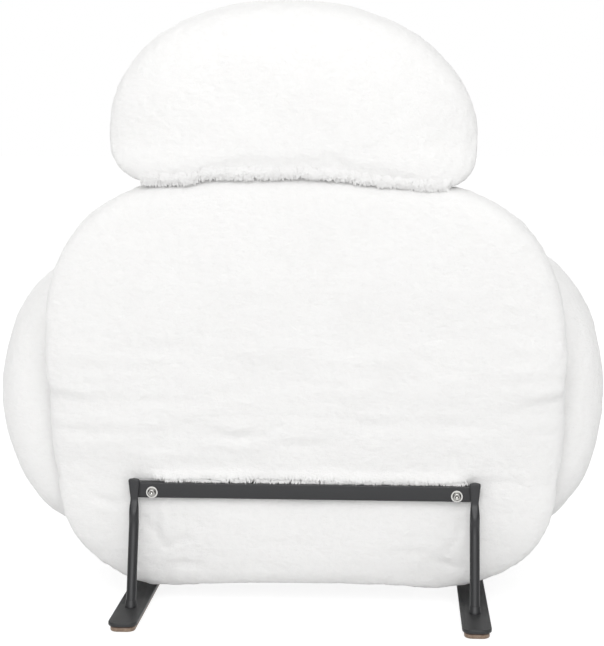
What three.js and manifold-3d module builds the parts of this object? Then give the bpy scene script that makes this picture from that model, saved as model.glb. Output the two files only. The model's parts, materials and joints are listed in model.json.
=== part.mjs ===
// Folding saucer chair: a plush padded shell on a bolted steel sled base with wooden soles.
// Millimetres, +Z up. The sitter faces -Y, and the floor is z = 0.
import * as THREE from 'three';
import { mergeVertices } from 'three/addons/utils/BufferGeometryUtils.js';
import Module from 'manifold-3d';

const wasm = await Module();
wasm.setup();

// Clearances and counts that many pieces share
const seatingGap = 0.3;
const cutOverrun = 4;
const roundPower = 2;
const flatPower = 3;
const barSides = 20;
const boltSides = 16;

// Driving dimensions of the sled base
const legSpan = 518;
const legDiameter = 15;
const tabWidth = 19;
const tabThickness = 5;
const rearTabRise = 7;
const frontTabDrop = 1;
const tabTaper = 34;
const tabShoulderShare = 0.8;
const tabTipShare = 0.4;
const legSides = 16;
const rearRake = 37;
const frontRake = 20;
const collarDiameter = 17.8;
const collarHeight = 10;
const collarShoulderShare = 0.7;
const barSpacing = 430;
const barTopHeight = 196;
const barHeight = 24;
const barDepth = 12;
const barWall = 1.5;
const barOverrun = 4;
const runnerWidth = 43;
const runnerThickness = 6;
const runnerCorner = 15;
const rearOverhang = 84;
const frontOverhang = 37;
const soleThickness = 8;
const soleInset = 3;
const screwInset = 70;
const screwHeadDiameter = 9;
const screwDiameter = 4;
const screwHeadDepth = 2.6;
const screwSinkShare = 0.25;

// Driving dimensions of the bolts that hold the seat frame to the two crossbars
const boltInset = 27;
const boltDrop = 3;
const boltDiameter = 8;
const boltClearance = 0.4;
const boltHeadDiameter = 13.5;
const boltHeadHeight = 5;
const socketAcross = 5;
const socketDepth = 3;
const washerDiameter = 18;
const washerThickness = 1.6;
const boltCrownShare = 0.7;
const boltRimShare = 0.94;
const boltRimDepthShare = 0.3;

// Driving dimensions of the seat frame
const crossRailDepth = 20;
const sideRailDiameter = 22;
const sideRailWall = 2;
const sideRailOverhang = 3;
const sideRailLip = 130;
const slingThickness = 2;

// Driving dimensions of the back, its hinges and its frame
const hingeForward = 118;
const hingeHeight = 392;
const backRecline = THREE.MathUtils.degToRad(12);
const plateThickness = 5;
const plateWidth = 36;
const plateFoot = 90;
const pinDiameter = 10;
const pinHeadDiameter = 16;
const pinHeadThickness = 2.5;
const runningGap = 0.4;
const backTubeDiameter = 20;
const backTubeWall = 2;
const backFrameHeight = 235;
const backFrameFoot = 25;
const backFrameDepth = 89;

// Driving dimensions of the headrest
const headPivotRise = 105;
const headPivotForward = 5;
const headTilt = THREE.MathUtils.degToRad(30);
const postSpan = 190;
const postThickness = 5;
const axleDiameter = 8;
const boardWidth = 320;
const boardHeight = 140;
const boardThickness = 6;
const lugWidth = 24;

// Driving dimensions of the soft parts
const seatOverhang = 9;
const seatLip = 62;
const seatRearTuck = 56;
const seatDrop = 4;
const seatCornerPower = 5;
const seatBellyShare = 0.4;
const cushionEdgePower = 3.2;
const cushionCrownShare = 0.1;
const backCushionClearance = 5;
const backCushionHeadroom = 16;
const backCushionLift = 20;
const backCrownSetback = 12;
const backCornerPower = 4.5;
const backBellyShare = 0.35;
const shellWing = 100;
const shellWaistHeight = 340;
const shellCrownCut = 8.8;
const shellFloorGap = 18;
const shellSetback = 30;
const shellTopPower = 3.2;
const shellFootPower = 3.5;
const shellEdgePower = 3;
const wingSetback = 48;
const wingEdgeShare = 0.6;
const wingGap = 8;
const shellHeadroom = 1;
const splitRise = 4;
const skirtThickness = 42;
const skirtSetback = 2.5;
const skirtLapShare = 0.33;
const bellyOverhang = 24;
const bellyClearance = 11.7;
const bellyRearDrop = 152;
const bellyFrontDrop = 66;
const bellyCornerPower = 4;
const bellyEdgePower = 2.6;
const armStandoff = 14.7;
const armInnerBulge = 37;
const armOuterBulge = 161;
const armRear = 60;
const armFrontSetback = 18;
const armBottom = 92;
const armRise = 157;
const armFrontDrop = 34;
const armEndPower = 3.4;
const armInnerPower = 4;
const armOuterPower = 2.1;
const armStations = 13;
const armSteps = 32;
const armBoardThickness = 10;
const armBoardInset = 12;
const armBoardHingeRoom = 72;
const armBoardFrontInset = 8;
const armBoardDrop = 12;
const armBoltInset = 60;
const armBoltDiameter = 8;
const armBoltHead = 16;
const pillowHalfWidth = 266;
const pillowLift = 43;
const pillowRise = 208;
const pillowHalfThickness = 62;
const pillowWaistRise = 10;
const pillowTopPower = 2.35;
const pillowFootPower = 3.6;
const pillowEdgePower = 2.5;
const pillowMiddleShare = 0.25;
const pocketGap = 2;

// Places that follow from the driving dimensions
const boltHole = boltDiameter + 2 * boltClearance;
const postWidth = backTubeDiameter;
const headPivotHeight = backFrameHeight + headPivotRise;
const headPivotDepth = backFrameDepth - headPivotForward;
const pillowBottom = backFrameHeight + pillowLift;
const pillowTop = headPivotHeight + pillowRise;
const pillowWaist = headPivotHeight + pillowWaistRise;
const backCushionHeight = pillowBottom - backCushionHeadroom - backCushionLift;
const shellTopHeight = pillowBottom - shellHeadroom;
const shellRearDepth = hingeForward + shellSetback;
const boltSpan = legSpan - 2 * boltInset;
const sideRailSpan = legSpan + 2 * sideRailOverhang;
const sideRailReach = barSpacing + sideRailLip;
const seatWidth = sideRailSpan + 2 * seatOverhang;
const seatFront = sideRailReach + seatLip;
const seatRear = hingeForward - seatRearTuck;
const seatTop = hingeHeight - seatDrop;
const bottomOfBar = barTopHeight - barHeight;
const boltHeight = (barTopHeight + bottomOfBar) / 2 - boltDrop;
const floorTop = soleThickness + runnerThickness;
const barHalfLength = legSpan / 2 + barOverrun;
const sideRailCentre = barTopHeight + seatingGap + sideRailDiameter / 2;
const deckHeight = barTopHeight + seatingGap + sideRailDiameter;
const plateInner = sideRailSpan / 2 + sideRailDiameter / 2 + seatingGap;
const movingPlateInner = plateInner + plateThickness + runningGap;
const uprightCentre = movingPlateInner + plateThickness + seatingGap + backTubeDiameter / 2;
const shellDrop = shellWaistHeight - floorTop - shellFloorGap;
const armInner = plateInner + armStandoff;
const armCrest = armInner + armInnerBulge;
const armOuter = armCrest + armOuterBulge;
const armFront = seatFront - armFrontSetback;
const armTop = hingeHeight + armRise;
const armBoardRear = hingeForward + armBoardHingeRoom;
const armBoardFront = sideRailReach - armBoardFrontInset;
const armBoardTop = hingeHeight - armBoardDrop;
const backCushionWidth = 2 * (armInner - backCushionClearance);
const shellHalfWidth = uprightCentre + shellWing;
const shellSlope = backFrameDepth * Math.tan(backRecline);
const shellWaist = (shellWaistHeight - hingeHeight) / Math.cos(backRecline) + shellSlope;
const shellRise = shellTopHeight + shellCrownCut - shellWaist;
const splitHeight = barTopHeight + splitRise;
const bellyWidth = legSpan + 2 * bellyOverhang;
const bellyReach = barSpacing - barDepth / 2 - seatingGap - crossRailDepth - bellyClearance;
const tabCentre = barDepth / 2 + seatingGap + tabThickness / 2;
const legHeadOffset = barDepth / 2 + seatingGap + legDiameter / 2;
const rearFoot = legHeadOffset + rearRake;
const frontFoot = -(barSpacing + legHeadOffset + frontRake);
const runnerRear = rearFoot + rearOverhang;
const runnerFront = frontFoot - frontOverhang;
const footingShift = (seatFront - runnerRear) / 2;

// Finishes
const finishes = {
  coatedSteel: { color: 0x2b2c2f, roughness: 0.5, metalness: 0.6 },
  brightSteel: { color: 0xc4c6c8, roughness: 0.3, metalness: 0.9 },
  frameSteel: { color: 0x4a4c50, roughness: 0.5, metalness: 0.7 },
  wood: { color: 0xa97f55, roughness: 0.6, metalness: 0 },
  webbing: { color: 0x1f1f21, roughness: 0.95, metalness: 0 },
  panel: { color: 0xb89468, roughness: 0.8, metalness: 0 },
  plush: { color: 0xf1efeb, roughness: 0.95, metalness: 0 },
};

function named(name, geometry, finish) {
  const mesh = new THREE.Mesh(geometry, new THREE.MeshStandardMaterial(finishes[finish]));
  mesh.name = name;
  return mesh;
}

// Cutting and joining of closed geometries
function toSolid(geometry) {
  const bare = geometry.clone();
  for (const name of Object.keys(bare.attributes)) {
    if (name !== 'position') bare.deleteAttribute(name);
  }
  const merged = mergeVertices(bare);
  const vertProperties = new Float32Array(merged.attributes.position.array);
  const triVerts = new Uint32Array(merged.index.array);
  return new wasm.Manifold(new wasm.Mesh({ numProp: 3, vertProperties, triVerts }));
}

function toGeometry(solid) {
  const mesh = solid.getMesh();
  const geometry = new THREE.BufferGeometry();
  geometry.setAttribute('position', new THREE.BufferAttribute(new Float32Array(mesh.vertProperties), 3));
  geometry.setIndex(new THREE.BufferAttribute(new Uint32Array(mesh.triVerts), 1));
  geometry.computeVertexNormals();
  return geometry;
}

function cut(geometry, ...tools) {
  let solid = toSolid(geometry);
  for (const tool of tools) solid = solid.subtract(toSolid(tool));
  return toGeometry(solid);
}

function join(geometry, ...others) {
  let solid = toSolid(geometry);
  for (const other of others) solid = solid.add(toSolid(other));
  return toGeometry(solid);
}

// Plain shapes: a block between two corners, a bar with its axis along X, Y or Z, and flat plates
function block(low, high) {
  const size = high.map((value, axis) => value - low[axis]);
  const middle = high.map((value, axis) => (value + low[axis]) / 2);
  return new THREE.BoxGeometry(...size).translate(...middle);
}

function alongX(geometry) {
  return geometry.rotateX(Math.PI / 2).rotateZ(Math.PI / 2);
}

function roundBar(axis, diameter, from, to, count = barSides) {
  const bar = new THREE.CylinderGeometry(diameter / 2, diameter / 2, to - from, count);
  bar.translate(0, (to + from) / 2, 0);
  if (axis === 'x') bar.rotateZ(-Math.PI / 2);
  if (axis === 'z') bar.rotateX(Math.PI / 2);
  return bar;
}

function ringShape(diameter, wall) {
  const shape = new THREE.Shape();
  shape.absarc(0, 0, diameter / 2, 0, 2 * Math.PI, false);
  const bore = new THREE.Path();
  bore.absarc(0, 0, diameter / 2 - wall, 0, 2 * Math.PI, true);
  shape.holes.push(bore);
  return shape;
}

function roundedRectangle(width, height, corner) {
  const right = width / 2;
  const top = height / 2;
  const shape = new THREE.Shape();
  shape.moveTo(-right + corner, -top);
  shape.lineTo(right - corner, -top);
  shape.absarc(right - corner, -top + corner, corner, -Math.PI / 2, 0, false);
  shape.lineTo(right, top - corner);
  shape.absarc(right - corner, top - corner, corner, 0, Math.PI / 2, false);
  shape.lineTo(-right + corner, top);
  shape.absarc(-right + corner, top - corner, corner, Math.PI / 2, Math.PI, false);
  shape.lineTo(-right, -top + corner);
  shape.absarc(-right + corner, -top + corner, corner, Math.PI, 1.5 * Math.PI, false);
  return shape;
}

function extruded(shape, depth, curveSegments = 6) {
  return new THREE.ExtrudeGeometry(shape, { depth, bevelEnabled: false, curveSegments });
}

// A rectangular tube that runs along X, open at both ends
function rectangularTube(length, depth, height, wall, corner) {
  const shape = roundedRectangle(depth, height, corner);
  const bore = roundedRectangle(depth - 2 * wall, height - 2 * wall, corner / 2);
  shape.holes.push(new THREE.Path(bore.getPoints(3).reverse()));
  return alongX(extruded(shape, length, 3)).translate(-length / 2, 0, 0);
}

// A plate that stands across X: its shape is drawn with Y and Z
function plateAcrossX(shape, inner, thickness, side, curveSegments = 10) {
  const plate = alongX(extruded(shape, thickness, curveSegments));
  return plate.translate(side > 0 ? inner : -inner - thickness, 0, 0);
}

// The sum of a superellipse's two terms is one, so both follow from one angle
function superPair(angle, power) {
  const c = Math.cos(angle);
  const s = Math.sin(angle);
  return [Math.sign(c) * Math.abs(c) ** (2 / power), Math.sign(s) * Math.abs(s) ** (2 / power)];
}

// Joins rings of points, all of one count, into one closed body whose ends close on a point
function ringBody(rings, startPoint, endPoint) {
  const steps = rings[0].length;
  const positions = [];
  for (const ring of rings) for (const point of ring) positions.push(...point);
  const start = positions.length / 3;
  positions.push(...startPoint);
  const end = positions.length / 3;
  positions.push(...endPoint);
  const index = [];
  for (let step = 0; step < steps; step += 1) {
    const next = (step + 1) % steps;
    index.push(start, next, step);
    for (let ring = 0; ring + 1 < rings.length; ring += 1) {
      const a = ring * steps + step;
      const b = ring * steps + next;
      index.push(a, b, b + steps, a, b + steps, a + steps);
    }
    const last = (rings.length - 1) * steps;
    index.push(last + step, last + next, end);
  }
  const geometry = new THREE.BufferGeometry();
  geometry.setAttribute('position', new THREE.Float32BufferAttribute(positions, 3));
  geometry.setIndex(index);
  const solid = toSolid(geometry);
  if (solid.volume() < 0) {
    geometry.setIndex(index.toReversed());
  }
  return geometry;
}

// A stuffed form: an outline in one plane, drawn in towards its two faces along a round edge.
// outline(angle) gives [a, b], middle is the point that the rings draw in to, place(a, b, c) puts a
// point in the part, and front and back give the thickness each way at a point of the outline plane.
function stuffed({ outline, middle, front, back, edgePower, steps, rings, place }) {
  const surface = (thickness, sign) => {
    const made = [];
    for (let ring = 1; ring <= rings; ring += 1) {
      const [share, depth] = superPair((ring / rings) * (Math.PI / 2), edgePower).toReversed();
      const points = [];
      for (let step = 0; step < steps; step += 1) {
        const [a, b] = outline((step / steps) * 2 * Math.PI);
        const x = middle[0] + share * (a - middle[0]);
        const y = middle[1] + share * (b - middle[1]);
        points.push(place(x, y, sign * thickness(x, y) * depth));
      }
      made.push(points);
    }
    return made;
  };
  const frontRings = surface(front, 1);
  const backRings = surface(back, -1).slice(0, -1).toReversed();
  const frontPoint = place(middle[0], middle[1], front(...middle));
  const backPoint = place(middle[0], middle[1], -back(...middle));
  return ringBody([...frontRings, ...backRings], frontPoint, backPoint);
}

const plain = (value) => () => value;

function mirrored(geometry, side) {
  if (side > 0) return geometry;
  const flipped = geometry.clone().scale(-1, 1, 1);
  const positions = flipped.index ? flipped.toNonIndexed() : flipped;
  const array = positions.attributes.position.array;
  const first = [0, 1, 2];
  for (let face = 0; face < positions.attributes.position.count; face += first.length) {
    for (const axis of first) {
      const start = face * first.length + axis;
      const end = start + 2 * first.length;
      [array[start], array[end]] = [array[end], array[start]];
    }
  }
  return positions;
}

const sides = [['left', 1], ['right', -1]];

// Sled base: two flat steel runners with wooden soles screwed under them
function runner(side) {
  const length = runnerRear - runnerFront;
  const shape = roundedRectangle(runnerWidth, length, runnerCorner);
  const plate = extruded(shape, runnerThickness - seatingGap, 6);
  const centre = (runnerRear + runnerFront) / 2;
  return plate.translate((side * legSpan) / 2, centre, soleThickness + seatingGap);
}

const screwPlaces = [['rear', runnerRear - screwInset], ['front', runnerFront + screwInset]];

// A countersunk screw with its head up inside the sole, and the hole that it fills
function soleScrew(clearance) {
  const head = screwHeadDiameter / 2 + clearance;
  const shank = screwDiameter / 2 + clearance;
  const headStart = soleThickness * screwSinkShare;
  const top = soleThickness + (clearance ? cutOverrun : 0);
  const profile = [[0, clearance ? -cutOverrun : headStart], [head, clearance ? -cutOverrun : headStart]];
  profile.push([head, headStart], [shank, headStart + screwHeadDepth], [shank, top], [0, top]);
  const points = profile.map(([radius, height]) => new THREE.Vector2(radius, height));
  return new THREE.LatheGeometry(points, boltSides).rotateX(Math.PI / 2);
}

function sole(side) {
  const length = runnerRear - runnerFront - 2 * soleInset;
  const shape = roundedRectangle(runnerWidth - 2 * soleInset, length, runnerCorner - soleInset);
  const slab = extruded(shape, soleThickness, 6);
  slab.translate((side * legSpan) / 2, (runnerRear + runnerFront) / 2, 0);
  const holes = screwPlaces.map(([, y]) => soleScrew(seatingGap).translate((side * legSpan) / 2, y, 0));
  return cut(slab, ...holes);
}

// A leg is a round tube whose head is pressed flat and laid on the face of its crossbar
function leg(side, end) {
  const x = (side * legSpan) / 2;
  const face = end === 'rear' ? 0 : -barSpacing;
  const outward = end === 'rear' ? 1 : -1;
  const footY = end === 'rear' ? rearFoot : frontFoot;
  const footZ = floorTop + seatingGap;
  const bendZ = bottomOfBar - tabTaper;
  const tabZ = bottomOfBar;
  const topZ = barTopHeight + (end === 'rear' ? rearTabRise : -frontTabDrop);
  const round = legDiameter / 2;
  const shoulder = tabWidth / 2;
  const stations = [
    [footZ, footY, round, round],
    [bendZ, face + outward * legHeadOffset, round, round],
    [(bendZ + tabZ) / 2, face + (outward * (legHeadOffset + tabCentre)) / 2, (round + shoulder) / 2,
      (round + tabThickness / 2) / 2],
    [tabZ, face + outward * tabCentre, shoulder, tabThickness / 2],
    [topZ - shoulder / 2, face + outward * tabCentre, shoulder, tabThickness / 2],
    [topZ - shoulder * (1 - tabShoulderShare), face + outward * tabCentre, shoulder * tabShoulderShare,
      tabThickness / 2],
    [topZ, face + outward * tabCentre, shoulder * tabTipShare, tabThickness / 2],
  ];
  const rings = stations.map(([z, y, halfX, halfY]) => {
    const ring = [];
    for (let step = 0; step < legSides; step += 1) {
      const [a, b] = superPair((step / legSides) * 2 * Math.PI, halfY < round / 2 ? flatPower : roundPower);
      ring.push([x + halfX * a, y + halfY * b, z]);
    }
    return ring;
  });
  return ringBody(rings, [x, footY, footZ], [x, face + outward * tabCentre, topZ]);
}

// A collar stands round the foot of each leg and leans with it
function legCollar(side, end) {
  const footY = end === 'rear' ? rearFoot : frontFoot;
  const lean = (end === 'rear' ? rearRake : -frontRake) / (bottomOfBar - tabTaper - floorTop);
  const bore = legDiameter / 2 + seatingGap;
  const outer = collarDiameter / 2;
  const profile = [[bore, 0], [outer, 0], [outer, collarHeight * collarShoulderShare]];
  profile.push([bore + seatingGap, collarHeight], [bore, 0]);
  const points = profile.map(([radius, height]) => new THREE.Vector2(radius, height));
  const collar = new THREE.LatheGeometry(points, legSides).rotateX(Math.PI / 2);
  collar.applyMatrix4(new THREE.Matrix4().set(1, 0, 0, 0, 0, 1, -lean, 0, 0, 0, 1, 0, 0, 0, 0, 1));
  return collar.translate((side * legSpan) / 2, footY, floorTop + seatingGap);
}

// The crossbars lie between the legs, and the seat frame's own cross rails are bolted to them
function boltHoles(y, depth) {
  return sides.map(([, side]) => {
    const hole = roundBar('y', boltHole, y - depth / 2 - cutOverrun, y + depth / 2 + cutOverrun, boltSides);
    return hole.translate((side * boltSpan) / 2, 0, boltHeight);
  });
}

function crossbar(end) {
  const y = end === 'rear' ? 0 : -barSpacing;
  const bar = rectangularTube(2 * barHalfLength, barDepth, barHeight, barWall, barWall);
  bar.translate(0, y, barTopHeight - barHeight / 2);
  return cut(bar, ...boltHoles(y, barDepth));
}

const crossRailSetback = barDepth / 2 + seatingGap + crossRailDepth / 2;

// A cross rail ends flush with the crossbar that it is bolted behind
function crossRail(end) {
  const y = end === 'rear' ? -crossRailSetback : -barSpacing + crossRailSetback;
  const rail = rectangularTube(2 * barHalfLength, crossRailDepth, barHeight, barWall, barWall);
  rail.translate(0, y, barTopHeight - barHeight / 2);
  return cut(rail, ...boltHoles(y, crossRailDepth));
}

// A button-head bolt with a hexagon socket: its head bears on a washer on the crossbar
function frameBolt(side, end) {
  const reach = boltHeadHeight + washerThickness + 2 * seatingGap + barDepth + crossRailDepth;
  const radius = boltHeadDiameter / 2;
  const shank = boltDiameter / 2;
  const profile = [[0, 0], [radius * boltCrownShare, 0]];
  profile.push([radius * boltRimShare, boltHeadHeight * boltRimDepthShare]);
  profile.push([radius, boltHeadHeight], [shank, boltHeadHeight], [shank, reach], [0, reach]);
  const points = profile.map(([r, depth]) => new THREE.Vector2(r, depth));
  const corner = socketAcross / Math.sqrt(3);
  const socket = new THREE.CylinderGeometry(corner, corner, socketDepth + cutOverrun, 6);
  socket.translate(0, (socketDepth - cutOverrun) / 2, 0);
  const bolt = cut(new THREE.LatheGeometry(points, boltSides), socket);
  const face = barDepth / 2 + seatingGap + washerThickness + seatingGap + boltHeadHeight;
  if (end === 'rear') bolt.rotateZ(Math.PI);
  return bolt.translate((side * boltSpan) / 2, end === 'rear' ? face : -barSpacing - face, boltHeight);
}

function washer(side, end) {
  const outer = washerDiameter / 2;
  const bore = boltHole / 2;
  const profile = [[bore, 0], [outer, 0], [outer, washerThickness], [bore, washerThickness], [bore, 0]];
  const points = profile.map(([radius, height]) => new THREE.Vector2(radius, height));
  const ring = new THREE.LatheGeometry(points, boltSides);
  const face = barDepth / 2 + seatingGap;
  const y = end === 'rear' ? face : -barSpacing - face - washerThickness;
  return ring.translate((side * boltSpan) / 2, y, boltHeight);
}

// Seat frame: two side rails on the cross rails, a front tube between them and a sling over them
function sideRail(side) {
  const length = sideRailReach - crossRailSetback;
  const tube = extruded(ringShape(sideRailDiameter, sideRailWall), length, 10).rotateX(Math.PI / 2);
  return tube.translate((side * sideRailSpan) / 2, -crossRailSetback, sideRailCentre);
}

function seatFrontTube() {
  const length = sideRailSpan - sideRailDiameter - 2 * seatingGap;
  const tube = alongX(extruded(ringShape(sideRailDiameter, sideRailWall), length, 10));
  return tube.translate(-length / 2, -sideRailReach + sideRailDiameter / 2, sideRailCentre);
}

function seatSling() {
  const rear = barDepth / 2 + seatingGap + crossRailDepth;
  const length = sideRailReach - rear;
  const slab = extruded(roundedRectangle(sideRailSpan, length, sideRailDiameter), slingThickness, 5);
  return slab.translate(0, -(sideRailReach + rear) / 2, deckHeight + seatingGap);
}

// Hinges: a fixed plate on each side rail, a plate on each back upright, and a pin
function fixedPlateShape() {
  const radius = plateWidth / 2;
  const shape = new THREE.Shape();
  const foot = barTopHeight + seatingGap;
  shape.moveTo(-hingeForward - plateFoot / 2, foot);
  shape.lineTo(-hingeForward + plateFoot / 2, foot);
  shape.lineTo(-hingeForward + plateFoot / 2, foot + sideRailDiameter);
  shape.lineTo(-hingeForward + radius, foot + sideRailDiameter + plateWidth);
  shape.lineTo(-hingeForward + radius, hingeHeight);
  shape.absarc(-hingeForward, hingeHeight, radius, 0, Math.PI, false);
  shape.lineTo(-hingeForward - radius, foot + sideRailDiameter + plateWidth);
  shape.lineTo(-hingeForward - plateFoot / 2, foot + sideRailDiameter);
  const bore = new THREE.Path();
  bore.absarc(-hingeForward, hingeHeight, pinDiameter / 2 + runningGap, 0, 2 * Math.PI, true);
  shape.holes.push(bore);
  return shape;
}

// In the back's own frame the hinge is the origin and Y is the depth behind it
function movingPlateShape() {
  const radius = plateWidth / 2;
  const reach = backFrameDepth - (plateWidth - backTubeDiameter) / 2 - seatingGap;
  const shape = new THREE.Shape();
  shape.moveTo(0, -radius);
  shape.lineTo(reach, -radius);
  shape.absarc(reach, 0, radius, -Math.PI / 2, Math.PI / 2, false);
  shape.lineTo(0, radius);
  shape.absarc(0, 0, radius, Math.PI / 2, 1.5 * Math.PI, false);
  const bore = new THREE.Path();
  bore.absarc(0, 0, pinDiameter / 2 + runningGap, 0, 2 * Math.PI, true);
  shape.holes.push(bore);
  return shape;
}

function hingePin(side) {
  const radius = pinDiameter / 2;
  const head = pinHeadDiameter / 2;
  const inner = plateInner - seatingGap;
  const outer = movingPlateInner + plateThickness + seatingGap;
  const end = outer + pinHeadThickness;
  const profile = [[0, inner], [radius, inner], [radius, outer], [head, outer]];
  profile.push([head, outer + pinHeadThickness / 2], [radius, end], [0, end]);
  const points = profile.map(([r, x]) => new THREE.Vector2(r, x));
  const pin = new THREE.LatheGeometry(points, barSides).rotateZ(-Math.PI / 2);
  return mirrored(pin, side);
}

// Back frame: an upright on each moving plate, a tube across their tops and feet, and a sling
function backUpright(side) {
  const height = backFrameHeight + backFrameFoot;
  const tube = extruded(ringShape(backTubeDiameter, backTubeWall), height, 10);
  return tube.translate(side * uprightCentre, backFrameDepth, -backFrameFoot);
}

function backTopTube() {
  const length = 2 * uprightCentre - backTubeDiameter - 2 * seatingGap;
  const tube = alongX(extruded(ringShape(backTubeDiameter, backTubeWall), length, 10));
  return tube.translate(-length / 2, backFrameDepth, backFrameHeight - backTubeDiameter / 2);
}

function backLowerTube() {
  const length = 2 * (movingPlateInner - seatingGap);
  const tube = alongX(extruded(ringShape(backTubeDiameter, backTubeWall), length, 10));
  return tube.translate(-length / 2, backFrameDepth, -backFrameFoot + backTubeDiameter / 2);
}

function backSling() {
  const low = plateWidth / 2 + seatingGap;
  const width = 2 * uprightCentre;
  const slab = alongY(roundedRectangle(width, backFrameHeight - low, backTubeDiameter), slingThickness);
  return slab.translate(0, backFrameDepth - backTubeDiameter / 2 - seatingGap, (backFrameHeight + low) / 2);
}

// Headrest: two posts on the back's top tube, an axle through them, and a padded board that tilts on it
function headrestPost(side) {
  const radius = postWidth / 2;
  const base = backFrameHeight + seatingGap;
  const shape = new THREE.Shape();
  shape.moveTo(backFrameDepth - radius, base);
  shape.lineTo(backFrameDepth + radius, base);
  shape.lineTo(headPivotDepth + radius, headPivotHeight);
  shape.absarc(headPivotDepth, headPivotHeight, radius, 0, Math.PI, false);
  const bore = new THREE.Path();
  bore.absarc(headPivotDepth, headPivotHeight, axleDiameter / 2 + seatingGap, 0, 2 * Math.PI, true);
  shape.holes.push(bore);
  return plateAcrossX(shape, postSpan / 2, postThickness, side);
}

const lugInner = postSpan / 2 + postThickness + runningGap;
const axleHalfLength = lugInner + 2 * postThickness;

function headrestAxle() {
  return roundBar('x', axleDiameter, -axleHalfLength, axleHalfLength);
}

// In the headrest's own frame the axle is the origin
function headrestBoard() {
  const half = boardThickness / 2;
  const low = postWidth / 2 + runningGap;
  let board = alongY(roundedRectangle(boardWidth, boardHeight, lugWidth), boardThickness);
  board.translate(0, half, low + boardHeight / 2);
  const lugs = sides.map(([, side]) => {
    const radius = lugWidth / 2;
    const shape = new THREE.Shape();
    shape.moveTo(-half, low + radius);
    shape.lineTo(-radius, 0);
    shape.absarc(0, 0, radius, Math.PI, 2 * Math.PI, false);
    shape.lineTo(half, low + radius);
    const bore = new THREE.Path();
    bore.absarc(0, 0, axleDiameter / 2 + seatingGap, 0, 2 * Math.PI, true);
    shape.holes.push(bore);
    return plateAcrossX(shape, lugInner, postThickness, side);
  });
  return join(board, ...lugs);
}

function alongY(shape, thickness) {
  return extruded(shape, thickness, 5).rotateX(Math.PI / 2);
}

// The seat cushion: a crowned block with drawn-in sides and a fuller front edge
function seatCushion() {
  const bottom = deckHeight + 2 * seatingGap + slingThickness;
  const below = (seatTop - bottom) * seatBellyShare;
  const above = (seatTop - bottom) * (1 - seatBellyShare);
  const length = seatFront - seatRear;
  const outline = (angle) => {
    const [a, b] = superPair(angle, seatCornerPower);
    return [(a * seatWidth) / 2, (b * length) / 2];
  };
  const place = (x, y, c) => [x, y - (seatFront + seatRear) / 2, bottom + below + c];
  const top = (x) => above * (1 - cushionCrownShare * ((2 * x) / seatWidth) ** 2);
  return stuffed({ outline, middle: [0, 0], front: top, back: plain(below), edgePower: cushionEdgePower,
    steps: 44, rings: 7, place });
}

// The back cushion, in the back's own frame
function backCushion() {
  const rear = backFrameDepth - backTubeDiameter / 2 - 2 * seatingGap - slingThickness;
  const behind = (rear - backCrownSetback) * backBellyShare;
  const ahead = (rear - backCrownSetback) * (1 - backBellyShare);
  const centre = backCushionLift + backCushionHeight / 2;
  const outline = (angle) => {
    const [a, b] = superPair(angle, backCornerPower);
    return [(a * backCushionWidth) / 2, (b * backCushionHeight) / 2];
  };
  const crown = (x) => ahead * (1 - cushionCrownShare * ((2 * x) / backCushionWidth) ** 2);
  const place = (x, z, c) => [x, rear - behind - c, centre + z];
  return stuffed({ outline, middle: [0, 0], front: crown, back: plain(behind), edgePower: cushionEdgePower,
    steps: 40, rings: 6, place });
}

// The rear shell seen from behind: a superellipse over and under its widest height
function shellOutline(angle, rise, drop) {
  const [a, b] = superPair(angle, angle < Math.PI ? shellTopPower : shellFootPower);
  return [a * shellHalfWidth, b * (b > 0 ? rise : drop)];
}

// The rear shell, in the back's own frame: a wall behind the back frame with a thick wing each side.
// It is cut off in front of the arms, and under the plane that the fold opens at.
function rearShell() {
  const front = (shellRearDepth - wingSetback) * wingEdgeShare;
  const back = shellRearDepth - wingSetback - front;
  const outline = (angle) => {
    const [x, z] = shellOutline(angle, shellRise, shellDrop);
    return [x, Math.min(z, shellTopHeight - shellWaist)];
  };
  const place = (x, z, c) => [x, wingSetback + front - c, shellWaist + z];
  const pad = stuffed({ outline, middle: [0, 0], front: plain(front), back: plain(back),
    edgePower: shellEdgePower, steps: 48, rings: 8, place });
  const reach = 2 * (shellDrop + shellHalfWidth);
  const frameHalf = uprightCentre + backTubeDiameter / 2 + seatingGap;
  const frameRoom = block([-frameHalf, -reach, -reach],
    [frameHalf, backFrameDepth + backTubeDiameter / 2 + seatingGap, reach]);
  const armRoom = block([-reach, -reach, -reach], [reach, hingeForward - armRear + wingGap, 0]);
  armRoom.translate(0, 0, armTop - hingeHeight).rotateX(backRecline);
  return cut(pad, foldWedge(), frameRoom, armRoom);
}

// Everything on the seat's side of the fold plane, in the back's own frame
function foldWedge() {
  const rise = Math.atan2(hingeHeight - splitHeight, hingeForward);
  const reach = 2 * (shellDrop + shellHalfWidth);
  const wedge = block([-reach, -reach, -reach], [reach, reach, 0]);
  return wedge.rotateX(-rise + backRecline);
}

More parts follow.
